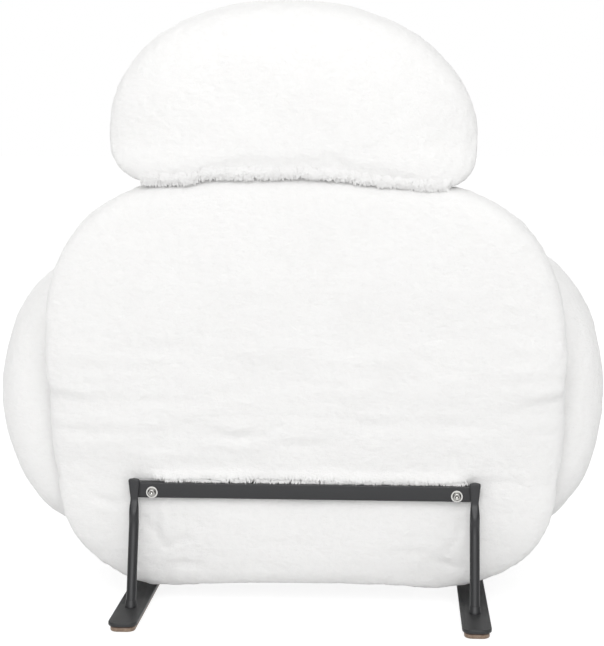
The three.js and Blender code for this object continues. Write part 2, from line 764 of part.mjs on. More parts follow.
// The belly pad hangs under the seat frame, with a wide skirt behind it under the shell
function bellyPad() {
  const rear = barDepth / 2 + skirtSetback + seatingGap;
  const skirtPlace = (x, z, c) => [x, -rear - skirtThickness / 2 + c, shellWaistHeight + z];
  const skirtOutline = (angle) => shellOutline(angle, shellRise, shellDrop);
  const skirt = stuffed({ outline: skirtOutline, middle: [0, 0], front: plain(skirtThickness / 2),
    back: plain(skirtThickness / 2), edgePower: shellEdgePower, steps: 44, rings: 6, place: skirtPlace });
  const roof = barTopHeight;
  const reach = 2 * (shellRise + shellHalfWidth);
  const above = block([-reach, -reach, roof], [reach, reach, roof + reach]);
  const start = rear + skirtThickness * skirtLapShare;
  const length = bellyReach - start;
  const outline = (angle) => {
    const [a, b] = superPair(angle, bellyCornerPower);
    return [(a * bellyWidth) / 2, (b * length) / 2];
  };
  const drop = (x, y) => THREE.MathUtils.lerp(bellyFrontDrop, bellyRearDrop, y / length + 1 / 2);
  const place = (x, y, c) => [x, y - start - length / 2, roof + c];
  const bag = stuffed({ outline, middle: [0, 0], front: plain(0), back: drop, edgePower: bellyEdgePower,
    steps: 40, rings: 6, place });
  const slotHalf = sideRailSpan / 2 + sideRailDiameter;
  const slotFront = -barDepth / 2 - 2 * seatingGap - crossRailDepth;
  const railSlot = block([-slotHalf, slotFront, bottomOfBar - seatingGap],
    [slotHalf, cutOverrun, roof + cutOverrun]);
  return cut(join(cut(skirt, above), bag), railSlot);
}

// An arm bolster: a D-shaped section with its flat side inwards, run forward and rounded at both ends
function armBolster(side) {
  const length = armFront - armRear;
  const middle = (armTop + armBottom) / 2;
  const rise = (armTop - armBottom) / 2;
  const rings = [];
  for (let station = 1; station < armStations; station += 1) {
    const [run, fill] = superPair(Math.PI - (station / armStations) * Math.PI, armEndPower);
    const ahead = (run + 1) / 2;
    const drop = armFrontDrop * ahead ** 2;
    const ring = [];
    for (let step = 0; step < armSteps; step += 1) {
      const angle = (step / armSteps) * 2 * Math.PI;
      const [a, b] = superPair(angle, Math.cos(angle) < 0 ? armInnerPower : armOuterPower);
      const width = a > 0 ? armOuter - armCrest : armCrest - armInner;
      const height = middle + b * rise * fill - (drop * (b + 1)) / 2;
      ring.push([armCrest + a * width * fill, -armRear - length * ahead, height]);
    }
    rings.push(ring);
  }
  const front = [armCrest, -armFront, middle - armFrontDrop / 2];
  const solid = ringBody(rings, [armCrest, -armRear, middle], front);
  return mirrored(cut(solid, ...armPocket()), side);
}

const boardInner = armInner + armBoardInset;
const armBoltPlaces = [['rear', armBoardRear + armBoltInset], ['front', armBoardFront - armBoltInset]];

function armPocket() {
  const pocket = block([boardInner - seatingGap, -armBoardFront - seatingGap, 0],
    [boardInner + armBoardThickness + seatingGap, -armBoardRear + seatingGap, armBoardTop + seatingGap]);
  const half = armBoltHead / 2 + pocketGap;
  const top = sideRailCentre + half;
  const slots = armBoltPlaces.map(([, forward]) => {
    return block([0, -forward - half, 0], [boardInner + armBoardThickness, -forward + half, top]);
  });
  return [pocket, ...slots];
}

// A plywood board stands in each arm, held off the side rail by two shouldered bolts
function armBoard(side) {
  const low = barTopHeight;
  const height = armBoardTop - low;
  const length = armBoardFront - armBoardRear;
  const shape = roundedRectangle(length, height, armBoltInset / 2);
  const board = alongX(extruded(shape, armBoardThickness, 6));
  board.translate(boardInner, -(armBoardFront + armBoardRear) / 2, low + height / 2);
  const holes = armBoltPlaces.map(([, forward]) => {
    const hole = roundBar('x', armBoltDiameter + 2 * seatingGap, boardInner - cutOverrun,
      boardInner + armBoardThickness + cutOverrun, boltSides);
    return hole.translate(0, -forward, sideRailCentre);
  });
  return mirrored(cut(board, ...holes), side);
}

function armBolt(side, forward) {
  const shoulder = boardInner - seatingGap;
  const start = plateInner;
  const end = boardInner + armBoardThickness;
  const wide = armBoltHead / 2;
  const shank = armBoltDiameter / 2;
  const profile = [[0, start], [wide, start], [wide, shoulder], [shank, shoulder], [shank, end], [0, end]];
  const points = profile.map(([r, x]) => new THREE.Vector2(r, x));
  const bolt = new THREE.LatheGeometry(points, boltSides).rotateZ(-Math.PI / 2);
  return mirrored(bolt, side).translate(0, -forward, sideRailCentre);
}

// The head pillow: a domed pill with a flatter underside, in the headrest's own frame
function headPillow() {
  const waist = pillowWaist - headPivotHeight;
  const rise = pillowTop - pillowWaist;
  const drop = pillowWaist - pillowBottom;
  const outline = (angle) => {
    const [a, b] = superPair(angle, angle < Math.PI ? pillowTopPower : pillowFootPower);
    return [a * pillowHalfWidth, b * (b > 0 ? rise : drop)];
  };
  const place = (x, z, c) => [x, -c, waist + z];
  const pad = stuffed({ outline, middle: [0, rise * pillowMiddleShare], front: plain(pillowHalfThickness),
    back: plain(pillowHalfThickness), edgePower: pillowEdgePower, steps: 44, rings: 7, place });
  return cut(pad, ...headPocket());
}

// The pocket for the board, and a fan for each post to swing in as the pillow tilts
function headPocket() {
  const gap = pocketGap;
  const half = boardThickness / 2 + seatingGap;
  const low = postWidth / 2 + runningGap;
  const boardRoom = block([-boardWidth / 2 - seatingGap, -half, low - gap],
    [boardWidth / 2 + seatingGap, half, low + boardHeight + seatingGap]);
  const rooms = [boardRoom];
  const reach = 2 * (headPivotHeight - pillowBottom);
  const inner = postSpan / 2 - gap;
  const outer = axleHalfLength + gap;
  const radius = lugWidth / 2 + gap;
  for (const [, side] of sides) {
    const shape = new THREE.Shape();
    shape.moveTo(-radius, 0);
    shape.lineTo(-radius, -reach);
    shape.lineTo(reach * Math.tan(headTilt) + radius * 2, -reach);
    shape.lineTo(radius, 0);
    shape.lineTo(radius, low + radius);
    shape.lineTo(-radius, low + radius);
    rooms.push(plateAcrossX(shape, inner, outer - inner, side));
  }
  const axleRoom = roundBar('x', axleDiameter + 2 * gap, -outer, outer, boltSides);
  return [...rooms, axleRoom];
}

// The assembled chair
const chair = new THREE.Group();
chair.position.y = footingShift;

for (const [name, side] of sides) {
  chair.add(named(`runner_${name}`, runner(side), 'coatedSteel'));
  chair.add(named(`sole_${name}`, sole(side), 'wood'));
  for (const [end, y] of screwPlaces) {
    const screw = soleScrew(0).translate((side * legSpan) / 2, y, 0);
    chair.add(named(`sole_screw_${end}_${name}`, screw, 'brightSteel'));
  }
  for (const end of ['rear', 'front']) {
    chair.add(named(`${end}_leg_${name}`, leg(side, end), 'coatedSteel'));
    chair.add(named(`${end}_leg_collar_${name}`, legCollar(side, end), 'coatedSteel'));
    chair.add(named(`${end}_frame_bolt_${name}`, frameBolt(side, end), 'brightSteel'));
    chair.add(named(`${end}_bolt_washer_${name}`, washer(side, end), 'brightSteel'));
  }
  chair.add(named(`seat_side_rail_${name}`, sideRail(side), 'frameSteel'));
  const fixedPlate = plateAcrossX(fixedPlateShape(), plateInner, plateThickness, side);
  chair.add(named(`hinge_plate_fixed_${name}`, fixedPlate, 'frameSteel'));
  const pin = hingePin(side).translate(0, -hingeForward, hingeHeight);
  chair.add(named(`hinge_pin_${name}`, pin, 'brightSteel'));
  chair.add(named(`arm_board_${name}`, armBoard(side), 'panel'));
  for (const [end, forward] of armBoltPlaces) {
    chair.add(named(`arm_bolt_${end}_${name}`, armBolt(side, forward), 'brightSteel'));
  }
  chair.add(named(`arm_bolster_${name}`, armBolster(side), 'plush'));
}
for (const end of ['rear', 'front']) {
  chair.add(named(`${end}_crossbar`, crossbar(end), 'coatedSteel'));
  chair.add(named(`${end}_cross_rail`, crossRail(end), 'frameSteel'));
}
chair.add(named('seat_front_tube', seatFrontTube(), 'frameSteel'));
chair.add(named('seat_sling', seatSling(), 'webbing'));
chair.add(named('seat_cushion', seatCushion(), 'plush'));
chair.add(named('belly_pad', bellyPad(), 'plush'));

const back = new THREE.Group();
back.position.set(0, -hingeForward, hingeHeight);
back.rotation.x = -backRecline;
for (const [name, side] of sides) {
  const plate = plateAcrossX(movingPlateShape(), movingPlateInner, plateThickness, side);
  back.add(named(`hinge_plate_back_${name}`, plate, 'frameSteel'));
  back.add(named(`back_upright_${name}`, backUpright(side), 'frameSteel'));
  back.add(named(`headrest_post_${name}`, headrestPost(side), 'frameSteel'));
}
back.add(named('back_top_tube', backTopTube(), 'frameSteel'));
back.add(named('back_lower_tube', backLowerTube(), 'frameSteel'));
back.add(named('back_sling', backSling(), 'webbing'));
back.add(named('back_cushion', backCushion(), 'plush'));
back.add(named('rear_shell', rearShell(), 'plush'));
chair.add(back);

const headrest = new THREE.Group();
headrest.position.set(0, headPivotDepth, headPivotHeight);
headrest.add(named('headrest_axle', headrestAxle(), 'brightSteel'));
headrest.add(named('headrest_board', headrestBoard(), 'frameSteel'));
headrest.add(named('head_pillow', headPillow(), 'plush'));
back.add(headrest);

export default chair;
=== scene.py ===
# Folding saucer chair: a plush padded body on a bolted steel sled base with wooden soles.
# Metres, +Z up. The sitter faces -Y, +X is at the sitter's left, and the floor is z = 0.
import json
import math

import bmesh
import bpy
import numpy as np
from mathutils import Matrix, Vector


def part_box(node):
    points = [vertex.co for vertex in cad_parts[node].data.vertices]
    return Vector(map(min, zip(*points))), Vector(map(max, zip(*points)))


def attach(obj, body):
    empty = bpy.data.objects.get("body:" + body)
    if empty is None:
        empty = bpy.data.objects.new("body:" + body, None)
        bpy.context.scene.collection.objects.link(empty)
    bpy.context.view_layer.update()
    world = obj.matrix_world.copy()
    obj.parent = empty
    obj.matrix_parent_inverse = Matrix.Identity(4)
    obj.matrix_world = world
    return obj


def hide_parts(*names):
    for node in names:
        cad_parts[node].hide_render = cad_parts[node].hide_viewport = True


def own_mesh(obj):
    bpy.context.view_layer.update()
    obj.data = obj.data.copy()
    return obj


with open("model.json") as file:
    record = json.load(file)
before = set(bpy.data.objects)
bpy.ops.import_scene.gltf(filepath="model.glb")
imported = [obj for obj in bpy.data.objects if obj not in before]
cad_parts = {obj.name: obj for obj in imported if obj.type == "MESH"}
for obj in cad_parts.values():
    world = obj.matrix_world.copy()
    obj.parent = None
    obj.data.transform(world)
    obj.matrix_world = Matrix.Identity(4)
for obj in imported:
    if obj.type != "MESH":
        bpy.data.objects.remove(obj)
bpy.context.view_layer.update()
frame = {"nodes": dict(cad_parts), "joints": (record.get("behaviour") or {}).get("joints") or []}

# Runners: two flat steel bars with round ends that lie from front to rear on their wooden soles.
# They are sawn from 43 x 6 mm bar, rounded at the ends, deburred and powder coated charcoal.
SIDES = ("left", "right")
ENDS = (("rear", 1), ("front", -1))
RUNNER_CORNER = 0.015
RUNNER_EDGE = 0.0012
COAT_COLOUR = (0.021, 0.0215, 0.023, 1)
COAT_PEEL = 420
COAT_SPECK = 2600
COAT_CLOUD = 26
SPECK_COLOUR = (0.045, 0.046, 0.048, 1)
DUST_COLOUR = (0.12, 0.119, 0.115, 1)


def node(tree, kind, feeds=None, **settings):
    """Adds one node to a tree. feeds gives each input a value, or the output socket that leads to it."""
    made = tree.nodes.new(kind)
    for key, value in settings.items():
        setattr(made, key, value)
    for key, value in (feeds or {}).items():
        if isinstance(value, bpy.types.NodeSocket):
            tree.links.new(value, made.inputs[key])
        else:
            made.inputs[key].default_value = value
    return made


def maths(tree, operation, first, second=0.0):
    """The result of one Math node."""
    return node(tree, "ShaderNodeMath", {0: first, 1: second}, operation=operation).outputs[0]


def pattern(name, **inputs):
    """An empty shader node group. An input given four numbers is a colour, and the others are numbers."""
    group = bpy.data.node_groups.new(name, "ShaderNodeTree")
    for label, value in inputs.items():
        kind = "NodeSocketColor" if isinstance(value, tuple) else "NodeSocketFloat"
        group.interface.new_socket(label, in_out="INPUT", socket_type=kind).default_value = value
    for label, kind in (("Colour", "Color"), ("Roughness", "Float"), ("Height", "Float")):
        group.interface.new_socket(label, in_out="OUTPUT", socket_type="NodeSocket" + kind)
    return group, group.nodes.new("NodeGroupInput").outputs


def put_out(group, *results):
    """Leads a pattern's colour, roughness and height to its outputs, and gives the group back."""
    last = group.nodes.new("NodeGroupOutput")
    for place, result in enumerate(results):
        group.links.new(result, last.inputs[place])
    return group


def stretched(tree, scale):
    """Object coordinates, stretched along each axis by scale."""
    place = node(tree, "ShaderNodeTexCoord")
    return node(tree, "ShaderNodeMapping", {"Vector": place.outputs["Object"], "Scale": scale}).outputs[0]


def grain(tree, scale, size, detail=2.0, roughness=0.5):
    """Noise on stretched object coordinates, from 0 to 1."""
    feeds = {"Vector": stretched(tree, scale), "Scale": size, "Detail": detail, "Roughness": roughness}
    return node(tree, "ShaderNodeTexNoise", feeds).outputs["Fac"]


def spread(tree, value, low, high, to_low=0.0, to_high=1.0):
    """A value taken from one range to another, and held inside it."""
    feeds = {"Value": value, "From Min": low, "From Max": high, "To Min": to_low, "To Max": to_high}
    return node(tree, "ShaderNodeMapRange", feeds).outputs["Result"]


def blended(tree, share, first, second, mode="MIX"):
    """Two colours mixed by a share."""
    feeds = {0: share, 6: first, 7: second}
    return node(tree, "ShaderNodeMix", feeds, data_type="RGBA", blend_type=mode).outputs[2]


def coat_pattern():
    """Powder coat: a fine orange peel, a speck in the colour, and dust on what faces up."""
    group, given = pattern("powder coat", Colour=COAT_COLOUR, Dust=0.25)
    peel = grain(group, (1, 1, 1), COAT_PEEL, 1.5)
    speck = grain(group, (1, 1, 1), COAT_SPECK, 2)
    cloud = grain(group, (1, 1, 1), COAT_CLOUD, 3)
    normal = node(group, "ShaderNodeNewGeometry").outputs["Normal"]
    facing = node(group, "ShaderNodeSeparateXYZ", {"Vector": normal}).outputs["Z"]
    patches = maths(group, "MULTIPLY", spread(group, facing, 0.2, 1), spread(group, cloud, 0.35, 0.75))
    dust = maths(group, "MULTIPLY", patches, given["Dust"])
    tone = blended(group, spread(group, speck, 0.35, 0.7, 0, 0.35), given["Colour"], SPECK_COLOUR)
    dusted = blended(group, dust, tone, DUST_COLOUR)
    return put_out(group, dusted, spread(group, cloud, 0.3, 0.7, 0.36, 0.48), peel)


def finish(name, group, values=None, height=0.0, **surface):
    """A material: a pattern's colour, roughness and height on a Principled BSDF with its own values."""
    material = bpy.data.materials.new(name)
    material.use_nodes = True
    tree = material.node_tree
    shader = tree.nodes["Principled BSDF"]
    used = node(tree, "ShaderNodeGroup", values, node_tree=group).outputs
    tree.links.new(used["Colour"], shader.inputs["Base Color"])
    tree.links.new(used["Roughness"], shader.inputs["Roughness"])
    bump = node(tree, "ShaderNodeBump", {"Height": used["Height"], "Distance": height})
    tree.links.new(bump.outputs["Normal"], shader.inputs["Normal"])
    for key, value in surface.items():
        shader.inputs[key.replace("_", " ")].default_value = value
    return material


powder_coat = coat_pattern()
coated_steel = finish("charcoal_powder_coat", powder_coat, {"Dust": 0.2}, 0.00012, Metallic=0.25)


def lofted(rings, looped=False):
    """Points and faces of a closed skin over rings of points, as an array (ring, step, xyz).

    Looped rings join the last to the first. Others close at each end on the middle of their ring.
    """
    count, around = rings.shape[:2]
    index = np.arange(count * around).reshape(count, around)
    low = index if looped else index[:-1]
    high = np.roll(index, -1, axis=0) if looped else index[1:]
    quads = np.stack([low, np.roll(low, -1, 1), np.roll(high, -1, 1), high], -1).reshape(-1, 4)
    points = rings.reshape(-1, 3)
    if looped:
        return points, quads.tolist()
    middles = rings[[0, -1]].mean(axis=1)
    first, last = index[0], index[-1]
    near = np.stack([np.full(around, count * around), np.roll(first, -1), first], -1)
    far = np.stack([np.full(around, count * around + 1), last, np.roll(last, -1)], -1)
    return np.vstack([points, middles]), quads.tolist() + near.tolist() + far.tolist()


def placed(name, data):
    """A new object in the scene."""
    made = bpy.data.objects.new(name, data)
    bpy.context.scene.collection.objects.link(made)
    return made


def skinned(name, points, faces, material, sharp=38):
    """A mesh object at the origin: faces turned outwards, smooth but for edges past sharp degrees."""
    mesh = bpy.data.meshes.new(name)
    mesh.from_pydata(np.asarray(points).tolist(), [], faces)
    shape = bmesh.new()
    shape.from_mesh(mesh)
    bmesh.ops.recalc_face_normals(shape, faces=shape.faces)
    shape.to_mesh(mesh)
    shape.free()
    mesh.shade_smooth()
    if sharp:
        mesh.set_sharp_from_angle(angle=math.radians(sharp))
    mesh.materials.append(material)
    return placed(name, mesh)


def rounded_loop(half_width, half_length, corner, steps=8):
    """A rounded rectangle round the origin, as an array (step, 2): a quarter circle at each corner."""
    turn = np.linspace(0, np.pi / 2, steps)
    arc = corner * np.stack([np.cos(turn), np.sin(turn)], -1)
    quarter = arc + [half_width - corner, half_length - corner]
    second = np.stack([-quarter[::-1, 0], quarter[::-1, 1]], -1)
    upper = np.vstack([quarter, second])
    return np.vstack([upper, -upper])


def slab(low, high, corner, edge):
    """A flat plate between two corners: rounded rectangles, drawn in along a quarter circle at each face."""
    middle = (low + high) / 2
    half = (high - low) / 2
    turn = np.linspace(0, np.pi / 2, 4)
    inset = edge * (1 - np.sin(turn))
    rise = edge * (1 - np.cos(turn))
    levels = np.concatenate([low[2] + rise, high[2] - rise[::-1]])
    insets = np.concatenate([inset, inset[::-1]])
    rings = []
    for level, draw in zip(levels, insets):
        loop = rounded_loop(half[0] - draw, half[1] - draw, corner - draw)
        rings.append(np.column_stack([loop + middle[:2], np.full(len(loop), level)]))
    return lofted(np.array(rings))


def corners(name):
    """A CAD node's lowest and highest corners, as arrays."""
    return np.array(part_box(name))


def fitted(piece, body, slot, *nodes):
    """Rides a piece on its body and stands it in for its CAD nodes. slot is not used."""
    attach(piece, body)
    if nodes:
        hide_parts(*nodes)


for side in SIDES:
    shape = slab(*corners(f"runner_{side}"), RUNNER_CORNER, RUNNER_EDGE)
    fitted(skinned(f"steel_runner_{side}", *shape, coated_steel), "base", "coated_steel", f"runner_{side}")

# Soles: a strip of oiled brown hardwood under each runner, 3 mm narrower all round.
# Two countersunk zinc-plated screws hold each one, with their heads sunk in its underside.
SOLE_CORNER = 0.012
SOLE_EDGE = 0.0018
WOOD_LIGHT = (0.40, 0.30, 0.225, 1)
WOOD_DARK = (0.16, 0.105, 0.072, 1)
# Painted shadow: the near-black brown the sole's top is painted between these heights, for the shade in the
# gap under the runner.
GAP_SHADE_COLOUR = (0.075, 0.042, 0.028, 1)
GAP_SHADE_BAND = (0.0055, 0.0066)
ZINC_COLOUR = (0.66, 0.655, 0.635, 1)
ZINC_CLOUD = (0.36, 0.36, 0.35, 1)
BOLT_COLOUR = (0.36, 0.355, 0.34, 1)


def wood_grain():
    """Hardwood: long grain lines with fine pores in them, running along Y, with painted shadow along its top
    where the runner lies on it.
    """
    group, given = pattern("wood grain", Light=WOOD_LIGHT, Dark=WOOD_DARK, Stain=1.0)
    figure = grain(group, (1, 0.06, 1.6), 190, 4, 0.6)
    pores = grain(group, (1, 0.03, 1), 1500, 2)
    broad = grain(group, (1, 0.2, 1), 30, 2)
    lines = maths(group, "MULTIPLY", figure, pores)
    mixed = blended(group, spread(group, lines, 0.12, 0.42), given["Dark"], given["Light"])
    shaded = blended(group, spread(group, broad, 0.3, 0.75, 0.0, 0.35), mixed, given["Dark"])
    # Painted shadow: the sole's colour darkens to the shadow colour at its top, under the runner's edge.
    level = node(group, "ShaderNodeSeparateXYZ", {"Vector": stretched(group, (1, 1, 1))}).outputs["Z"]
    upper = maths(group, "MULTIPLY", spread(group, level, *GAP_SHADE_BAND), given["Stain"])
    gap_shaded = blended(group, upper, shaded, GAP_SHADE_COLOUR)
    return put_out(group, gap_shaded, spread(group, figure, 0.3, 0.7, 0.62, 0.45), lines)


def zinc_plate():
    """Bright zinc plate: faint clouds in its tone and fine turning marks."""
    group, given = pattern("zinc plate", Colour=ZINC_COLOUR)
    clouds = grain(group, (1, 1, 1), 240, 3)
    marks = grain(group, (1, 6, 1), 1800, 2)
    toned = blended(group, spread(group, clouds, 0.3, 0.75, 0, 0.3), given["Colour"], ZINC_CLOUD)
    return put_out(group, toned, spread(group, marks, 0.3, 0.7, 0.13, 0.24), marks)


hardwood = wood_grain()
sole_wood = finish("oiled_hardwood", hardwood, None, 0.0003)
zinc = zinc_plate()
bright_zinc = finish("bright_zinc", zinc, None, 0.00003, Metallic=1.0)
bolt_steel = finish("bolt_steel", zinc, {"Colour": BOLT_COLOUR}, 0.00003, Metallic=1.0)


def paint(material, slot, *names):
    """Gives carried-over CAD nodes a material in their own slots."""
    for name in names:
        carried = frame["nodes"][name]
        if not carried.material_slots:
            carried.data.materials.append(None)
        for place in carried.material_slots:
            place.link = "OBJECT"
            place.material = material


for side in SIDES:
    shape = slab(*corners(f"sole_{side}"), SOLE_CORNER, SOLE_EDGE)
    fitted(skinned(f"wooden_sole_{side}", *shape, sole_wood), "base", "wood_sole", f"sole_{side}")
    paint(bright_zinc, "bright_steel", f"sole_screw_rear_{side}", f"sole_screw_front_{side}")

# Legs: 15 mm round steel tube from each runner to the crossbar's end, welded and powder coated.
# The foot stands in a turned collar, and the head is pressed flat and laid on the crossbar's face.
LEG_RADIUS = 0.0075
TAB_HALF_WIDTH = 0.0086
TAB_HALF_THICKNESS = 0.0025
BAR_HEIGHT = 0.024
BAR_TOP = corners("rear_crossbar")[1][2]
PRESS_LENGTH = 0.036
DOME_LENGTH = 0.005
DOME_POWER = 3.4
PINCH = 0.0017
COLLAR_BEAD = 0.0005


def ramp(value, low, high):
    """0 below low, 1 above high, and a smooth step between."""
    share = np.clip((value - low) / (high - low), 0, 1)
    return share * share * (3 - 2 * share)


def hump(offset, width):
    """A smooth hump: 1 where offset is 0, and next to nothing past twice its width."""
    return np.exp(-((offset / width) ** 2))


def leg_rings(low, high, outward):
    """Rings up a leg: round from the foot, then a smooth step to a flat tab with a domed end.

    The centre line leans in a straight line to the press, and is upright over the tab.
    """
    press_high = BAR_TOP - BAR_HEIGHT
    press_low = press_high - PRESS_LENGTH
    levels = np.concatenate([np.linspace(low[2], press_low, 10), np.linspace(press_low, press_high, 14)[1:],
                             high[2] - DOME_LENGTH * np.cos(np.linspace(0, np.pi / 2, 8))])
    flat = ramp(levels, press_low + 0.3 * PRESS_LENGTH, press_high)
    flare = ramp(levels, press_high, high[2] - 0.002)
    pinch = PINCH * hump(levels - press_high, 0.012)
    dome = np.clip((high[2] - levels) / DOME_LENGTH, 0.0008, 1)
    width = LEG_RADIUS + (TAB_HALF_WIDTH - LEG_RADIUS) * flare - pinch
    width *= (1 - (1 - dome) ** DOME_POWER) ** 0.5
    thick = (LEG_RADIUS + (TAB_HALF_THICKNESS - LEG_RADIUS) * flat) * (0.55 + 0.45 * np.sqrt(dome))
    foot = (high[1] if outward > 0 else low[1]) - outward * LEG_RADIUS
    tab = (low[1] if outward > 0 else high[1]) + outward * TAB_HALF_THICKNESS
    head = tab + outward * (LEG_RADIUS - TAB_HALF_THICKNESS)
    lean = np.clip((levels - low[2]) / (press_low - low[2]), 0, 1)
    centre = foot + (head - foot) * lean + (tab - head) * flat
    turn = np.linspace(0, 2 * np.pi, 28, endpoint=False)
    power = 2 / (2 + 1.6 * flat[:, None])
    across = np.sign(np.cos(turn)) * np.abs(np.cos(turn)) ** power * width[:, None]
    deep = np.sign(np.sin(turn)) * np.abs(np.sin(turn)) ** power * thick[:, None]
    up = np.broadcast_to(levels[:, None], across.shape)
    return np.stack([(low[0] + high[0]) / 2 + across, centre[:, None] + deep, up], -1)


def turned(centre, axis, profile, around=40):
    """Rings of a turned piece: its profile of (along the axis, radius), spun round X, Y or Z at centre."""
    profile = np.asarray(profile, float)
    turn = np.linspace(0, 2 * np.pi, around, endpoint=False)
    rings = np.empty((len(profile), around, 3))
    rings[..., axis] = profile[:, None, 0]
    rings[..., (axis + 1) % 3] = profile[:, None, 1] * np.cos(turn)
    rings[..., (axis + 2) % 3] = profile[:, None, 1] * np.sin(turn)
    return rings + centre


for side in SIDES:
    for end, outward in ENDS:
        rings = leg_rings(*corners(f"{end}_leg_{side}"), outward)
        leg = skinned(f"{end}_tube_leg_{side}", *lofted(rings), coated_steel)
        fitted(leg, "base", "coated_steel", f"{end}_leg_{side}")
        low, high = corners(f"{end}_leg_collar_{side}")
        radius = (high[0] - low[0]) / 2
        tall = high[2] - low[2]
        lean = (high[1] - low[1] - 2 * radius) / tall
        bore = LEG_RADIUS + 0.0002
        profile = [(0, bore), (0, radius), (0.5 * tall, radius), (0.6 * tall, radius - COLLAR_BEAD),
                   (0.92 * tall, radius - COLLAR_BEAD), (tall, bore + 0.0002), (tall, bore)]
        foot = (high[1] - radius) if outward > 0 else (low[1] + radius)
        rings = turned(np.array([(low[0] + high[0]) / 2, foot, low[2]]), 2, profile)
        rings[..., 1] -= outward * lean * (rings[..., 2] - low[2])
        collar = skinned(f"{end}_turned_collar_{side}", *lofted(rings, looped=True), coated_steel)
        fitted(collar, "base", "coated_steel", f"{end}_leg_collar_{side}")

# Crossbars: 24 x 12 mm rectangular steel tube between the heads of the legs, powder coated.
# Their ends are cut square and closed with a small dark plug pushed into the tube.
BAR_CORNER = 0.0022
BAR_WALL = 0.0015
PLUG_PROUD = 0.0012
PLUG_CORNER = 0.0016
PLUG_STEPS = ((-8, 0.0004), (0, 0.0004), (0, -0.8 * BAR_WALL), (0.7, -0.8 * BAR_WALL), (1, -0.3 * BAR_WALL))

for end, _ in ENDS:
    low, high = corners(f"{end}_crossbar")
    half = (high - low) / 2
    middle = (high + low) / 2
    outer = rounded_loop(half[1], half[2], BAR_CORNER)
    inner = rounded_loop(half[1] - BAR_WALL, half[2] - BAR_WALL, BAR_CORNER / 2)
    rings = []
    for loop, x in ((outer, low[0]), (outer, high[0]), (inner, high[0]), (inner, low[0])):
        rings.append(np.column_stack([np.full(len(loop), x), loop + middle[1:]]))
    bar = skinned(f"{end}_steel_crossbar", *lofted(np.array(rings), looped=True), coated_steel)
    fitted(bar, "base", "coated_steel", f"{end}_crossbar")
    for side, face, outwards in (("left", high[0], 1), ("right", low[0], -1)):
        rings = []
        for share, draw in PLUG_STEPS:
            loop = rounded_loop(half[1] - BAR_WALL - draw, half[2] - BAR_WALL - draw, PLUG_CORNER)
            x = np.full(len(loop), face + outwards * share * PLUG_PROUD)
            rings.append(np.column_stack([x, loop + middle[1:]]))
        plug = skinned(f"{end}_bar_plug_{side}", *lofted(np.array(rings)), coated_steel)
        fitted(plug, "base", "coated_steel")

# Frame bolts: zinc-plated M8 button-head screws with a hexagon socket, each on a plain washer.
# They go through the crossbar into the seat frame's own cross rail and are drawn tight.
SOCKET_HALF = 0.0025
SOCKET_DEPTH = 0.003
BOLT_RADIUS = 0.00675
BOLT_HEAD = 0.005
CROWN_RADIUS = 0.0037
SHANK_RADIUS = 0.004
WASHER_BORE = 0.0046
WASHER_EDGE = 0.0003


def bolt_rings(centre, outward, reach):
    """Rings from the bottom of the hexagon socket over the domed head and down the shank, along Y."""
    turn = np.linspace(0, 2 * np.pi, 48, endpoint=False)
    hexagon = SOCKET_HALF / np.cos((turn % (np.pi / 3)) - np.pi / 6)
    dome = np.linspace(0.1, 1, 7)
    profile = [(1.5 * SOCKET_DEPTH, 0.15 * hexagon), (SOCKET_DEPTH, hexagon), (0.0002, hexagon)]
    profile += [(0, hexagon + 0.0003)]
    crown = BOLT_RADIUS - CROWN_RADIUS
    profile += [(BOLT_HEAD * 0.72 * share ** 2.4, CROWN_RADIUS + crown * share) for share in dome]
    profile += [(BOLT_HEAD * 0.9, BOLT_RADIUS), (BOLT_HEAD, BOLT_RADIUS - 0.0003), (BOLT_HEAD, SHANK_RADIUS)]
    profile += [(reach - 0.0008, SHANK_RADIUS), (reach, SHANK_RADIUS - 0.0008)]
    rings = []
    for depth, radius in profile:
        around = np.broadcast_to(radius, turn.shape)
        back = np.full(turn.shape, -outward * depth)
        rings.append(np.stack([around * np.cos(turn), back, around * np.sin(turn)], -1))
    return np.array(rings) + centre


for side in SIDES:
    for end, outward in ENDS:
        low, high = corners(f"{end}_frame_bolt_{side}")
        centre = (low + high) / 2
        centre[1] = high[1] if outward > 0 else low[1]
        rings = bolt_rings(centre, outward, high[1] - low[1])
        bolt = skinned(f"{end}_button_bolt_{side}", *lofted(rings), bolt_steel)
        fitted(bolt, "base", "bright_steel", f"{end}_frame_bolt_{side}")
        low, high = corners(f"{end}_bolt_washer_{side}")
        radius, thick, _ = (high - low) * (0.5, 1, 1)
        profile = [(0, WASHER_BORE), (0, radius - WASHER_EDGE), (WASHER_EDGE, radius),
                   (thick - WASHER_EDGE, radius), (thick, radius - WASHER_EDGE), (thick, WASHER_BORE)]
        centre = (low + high) / 2
        centre[1] = low[1]
        rings = turned(centre, 1, profile)
        washer = skinned(f"{end}_plain_washer_{side}", *lofted(rings, looped=True), bright_zinc)
        fitted(washer, "base", "bright_steel", f"{end}_bolt_washer_{side}")

# Seat frame: two rails on the cross rails and a tube across their fronts, hidden in the padding.
# It is dark powder-coated tube, with the fixed hinge plates and their pins at its rear.
FRAME_COLOUR = (0.055, 0.056, 0.06, 1)

frame_steel = finish("dark_frame_coat", powder_coat, {"Colour": FRAME_COLOUR, "Dust": 0.1}, 0.0001,
                     Metallic=0.3)
paint(frame_steel, "frame_steel", "rear_cross_rail", "front_cross_rail", "seat_front_tube",
      "seat_side_rail_left", "seat_side_rail_right", "hinge_plate_fixed_left", "hinge_plate_fixed_right")
paint(bright_zinc, "bright_steel", "hinge_pin_left", "hinge_pin_right")

# Back frame: two uprights on the moving hinge plates, a tube across their tops and one low down.
# The headrest's two posts stand on the top tube, with the axle and the padded steel board on it.
paint(frame_steel, "frame_steel", "hinge_plate_back_left", "hinge_plate_back_right", "back_upright_left",
      "back_upright_right", "back_top_tube", "back_lower_tube", "headrest_post_left", "headrest_post_right",
      "headrest_board")
paint(bright_zinc, "bright_steel", "headrest_axle")

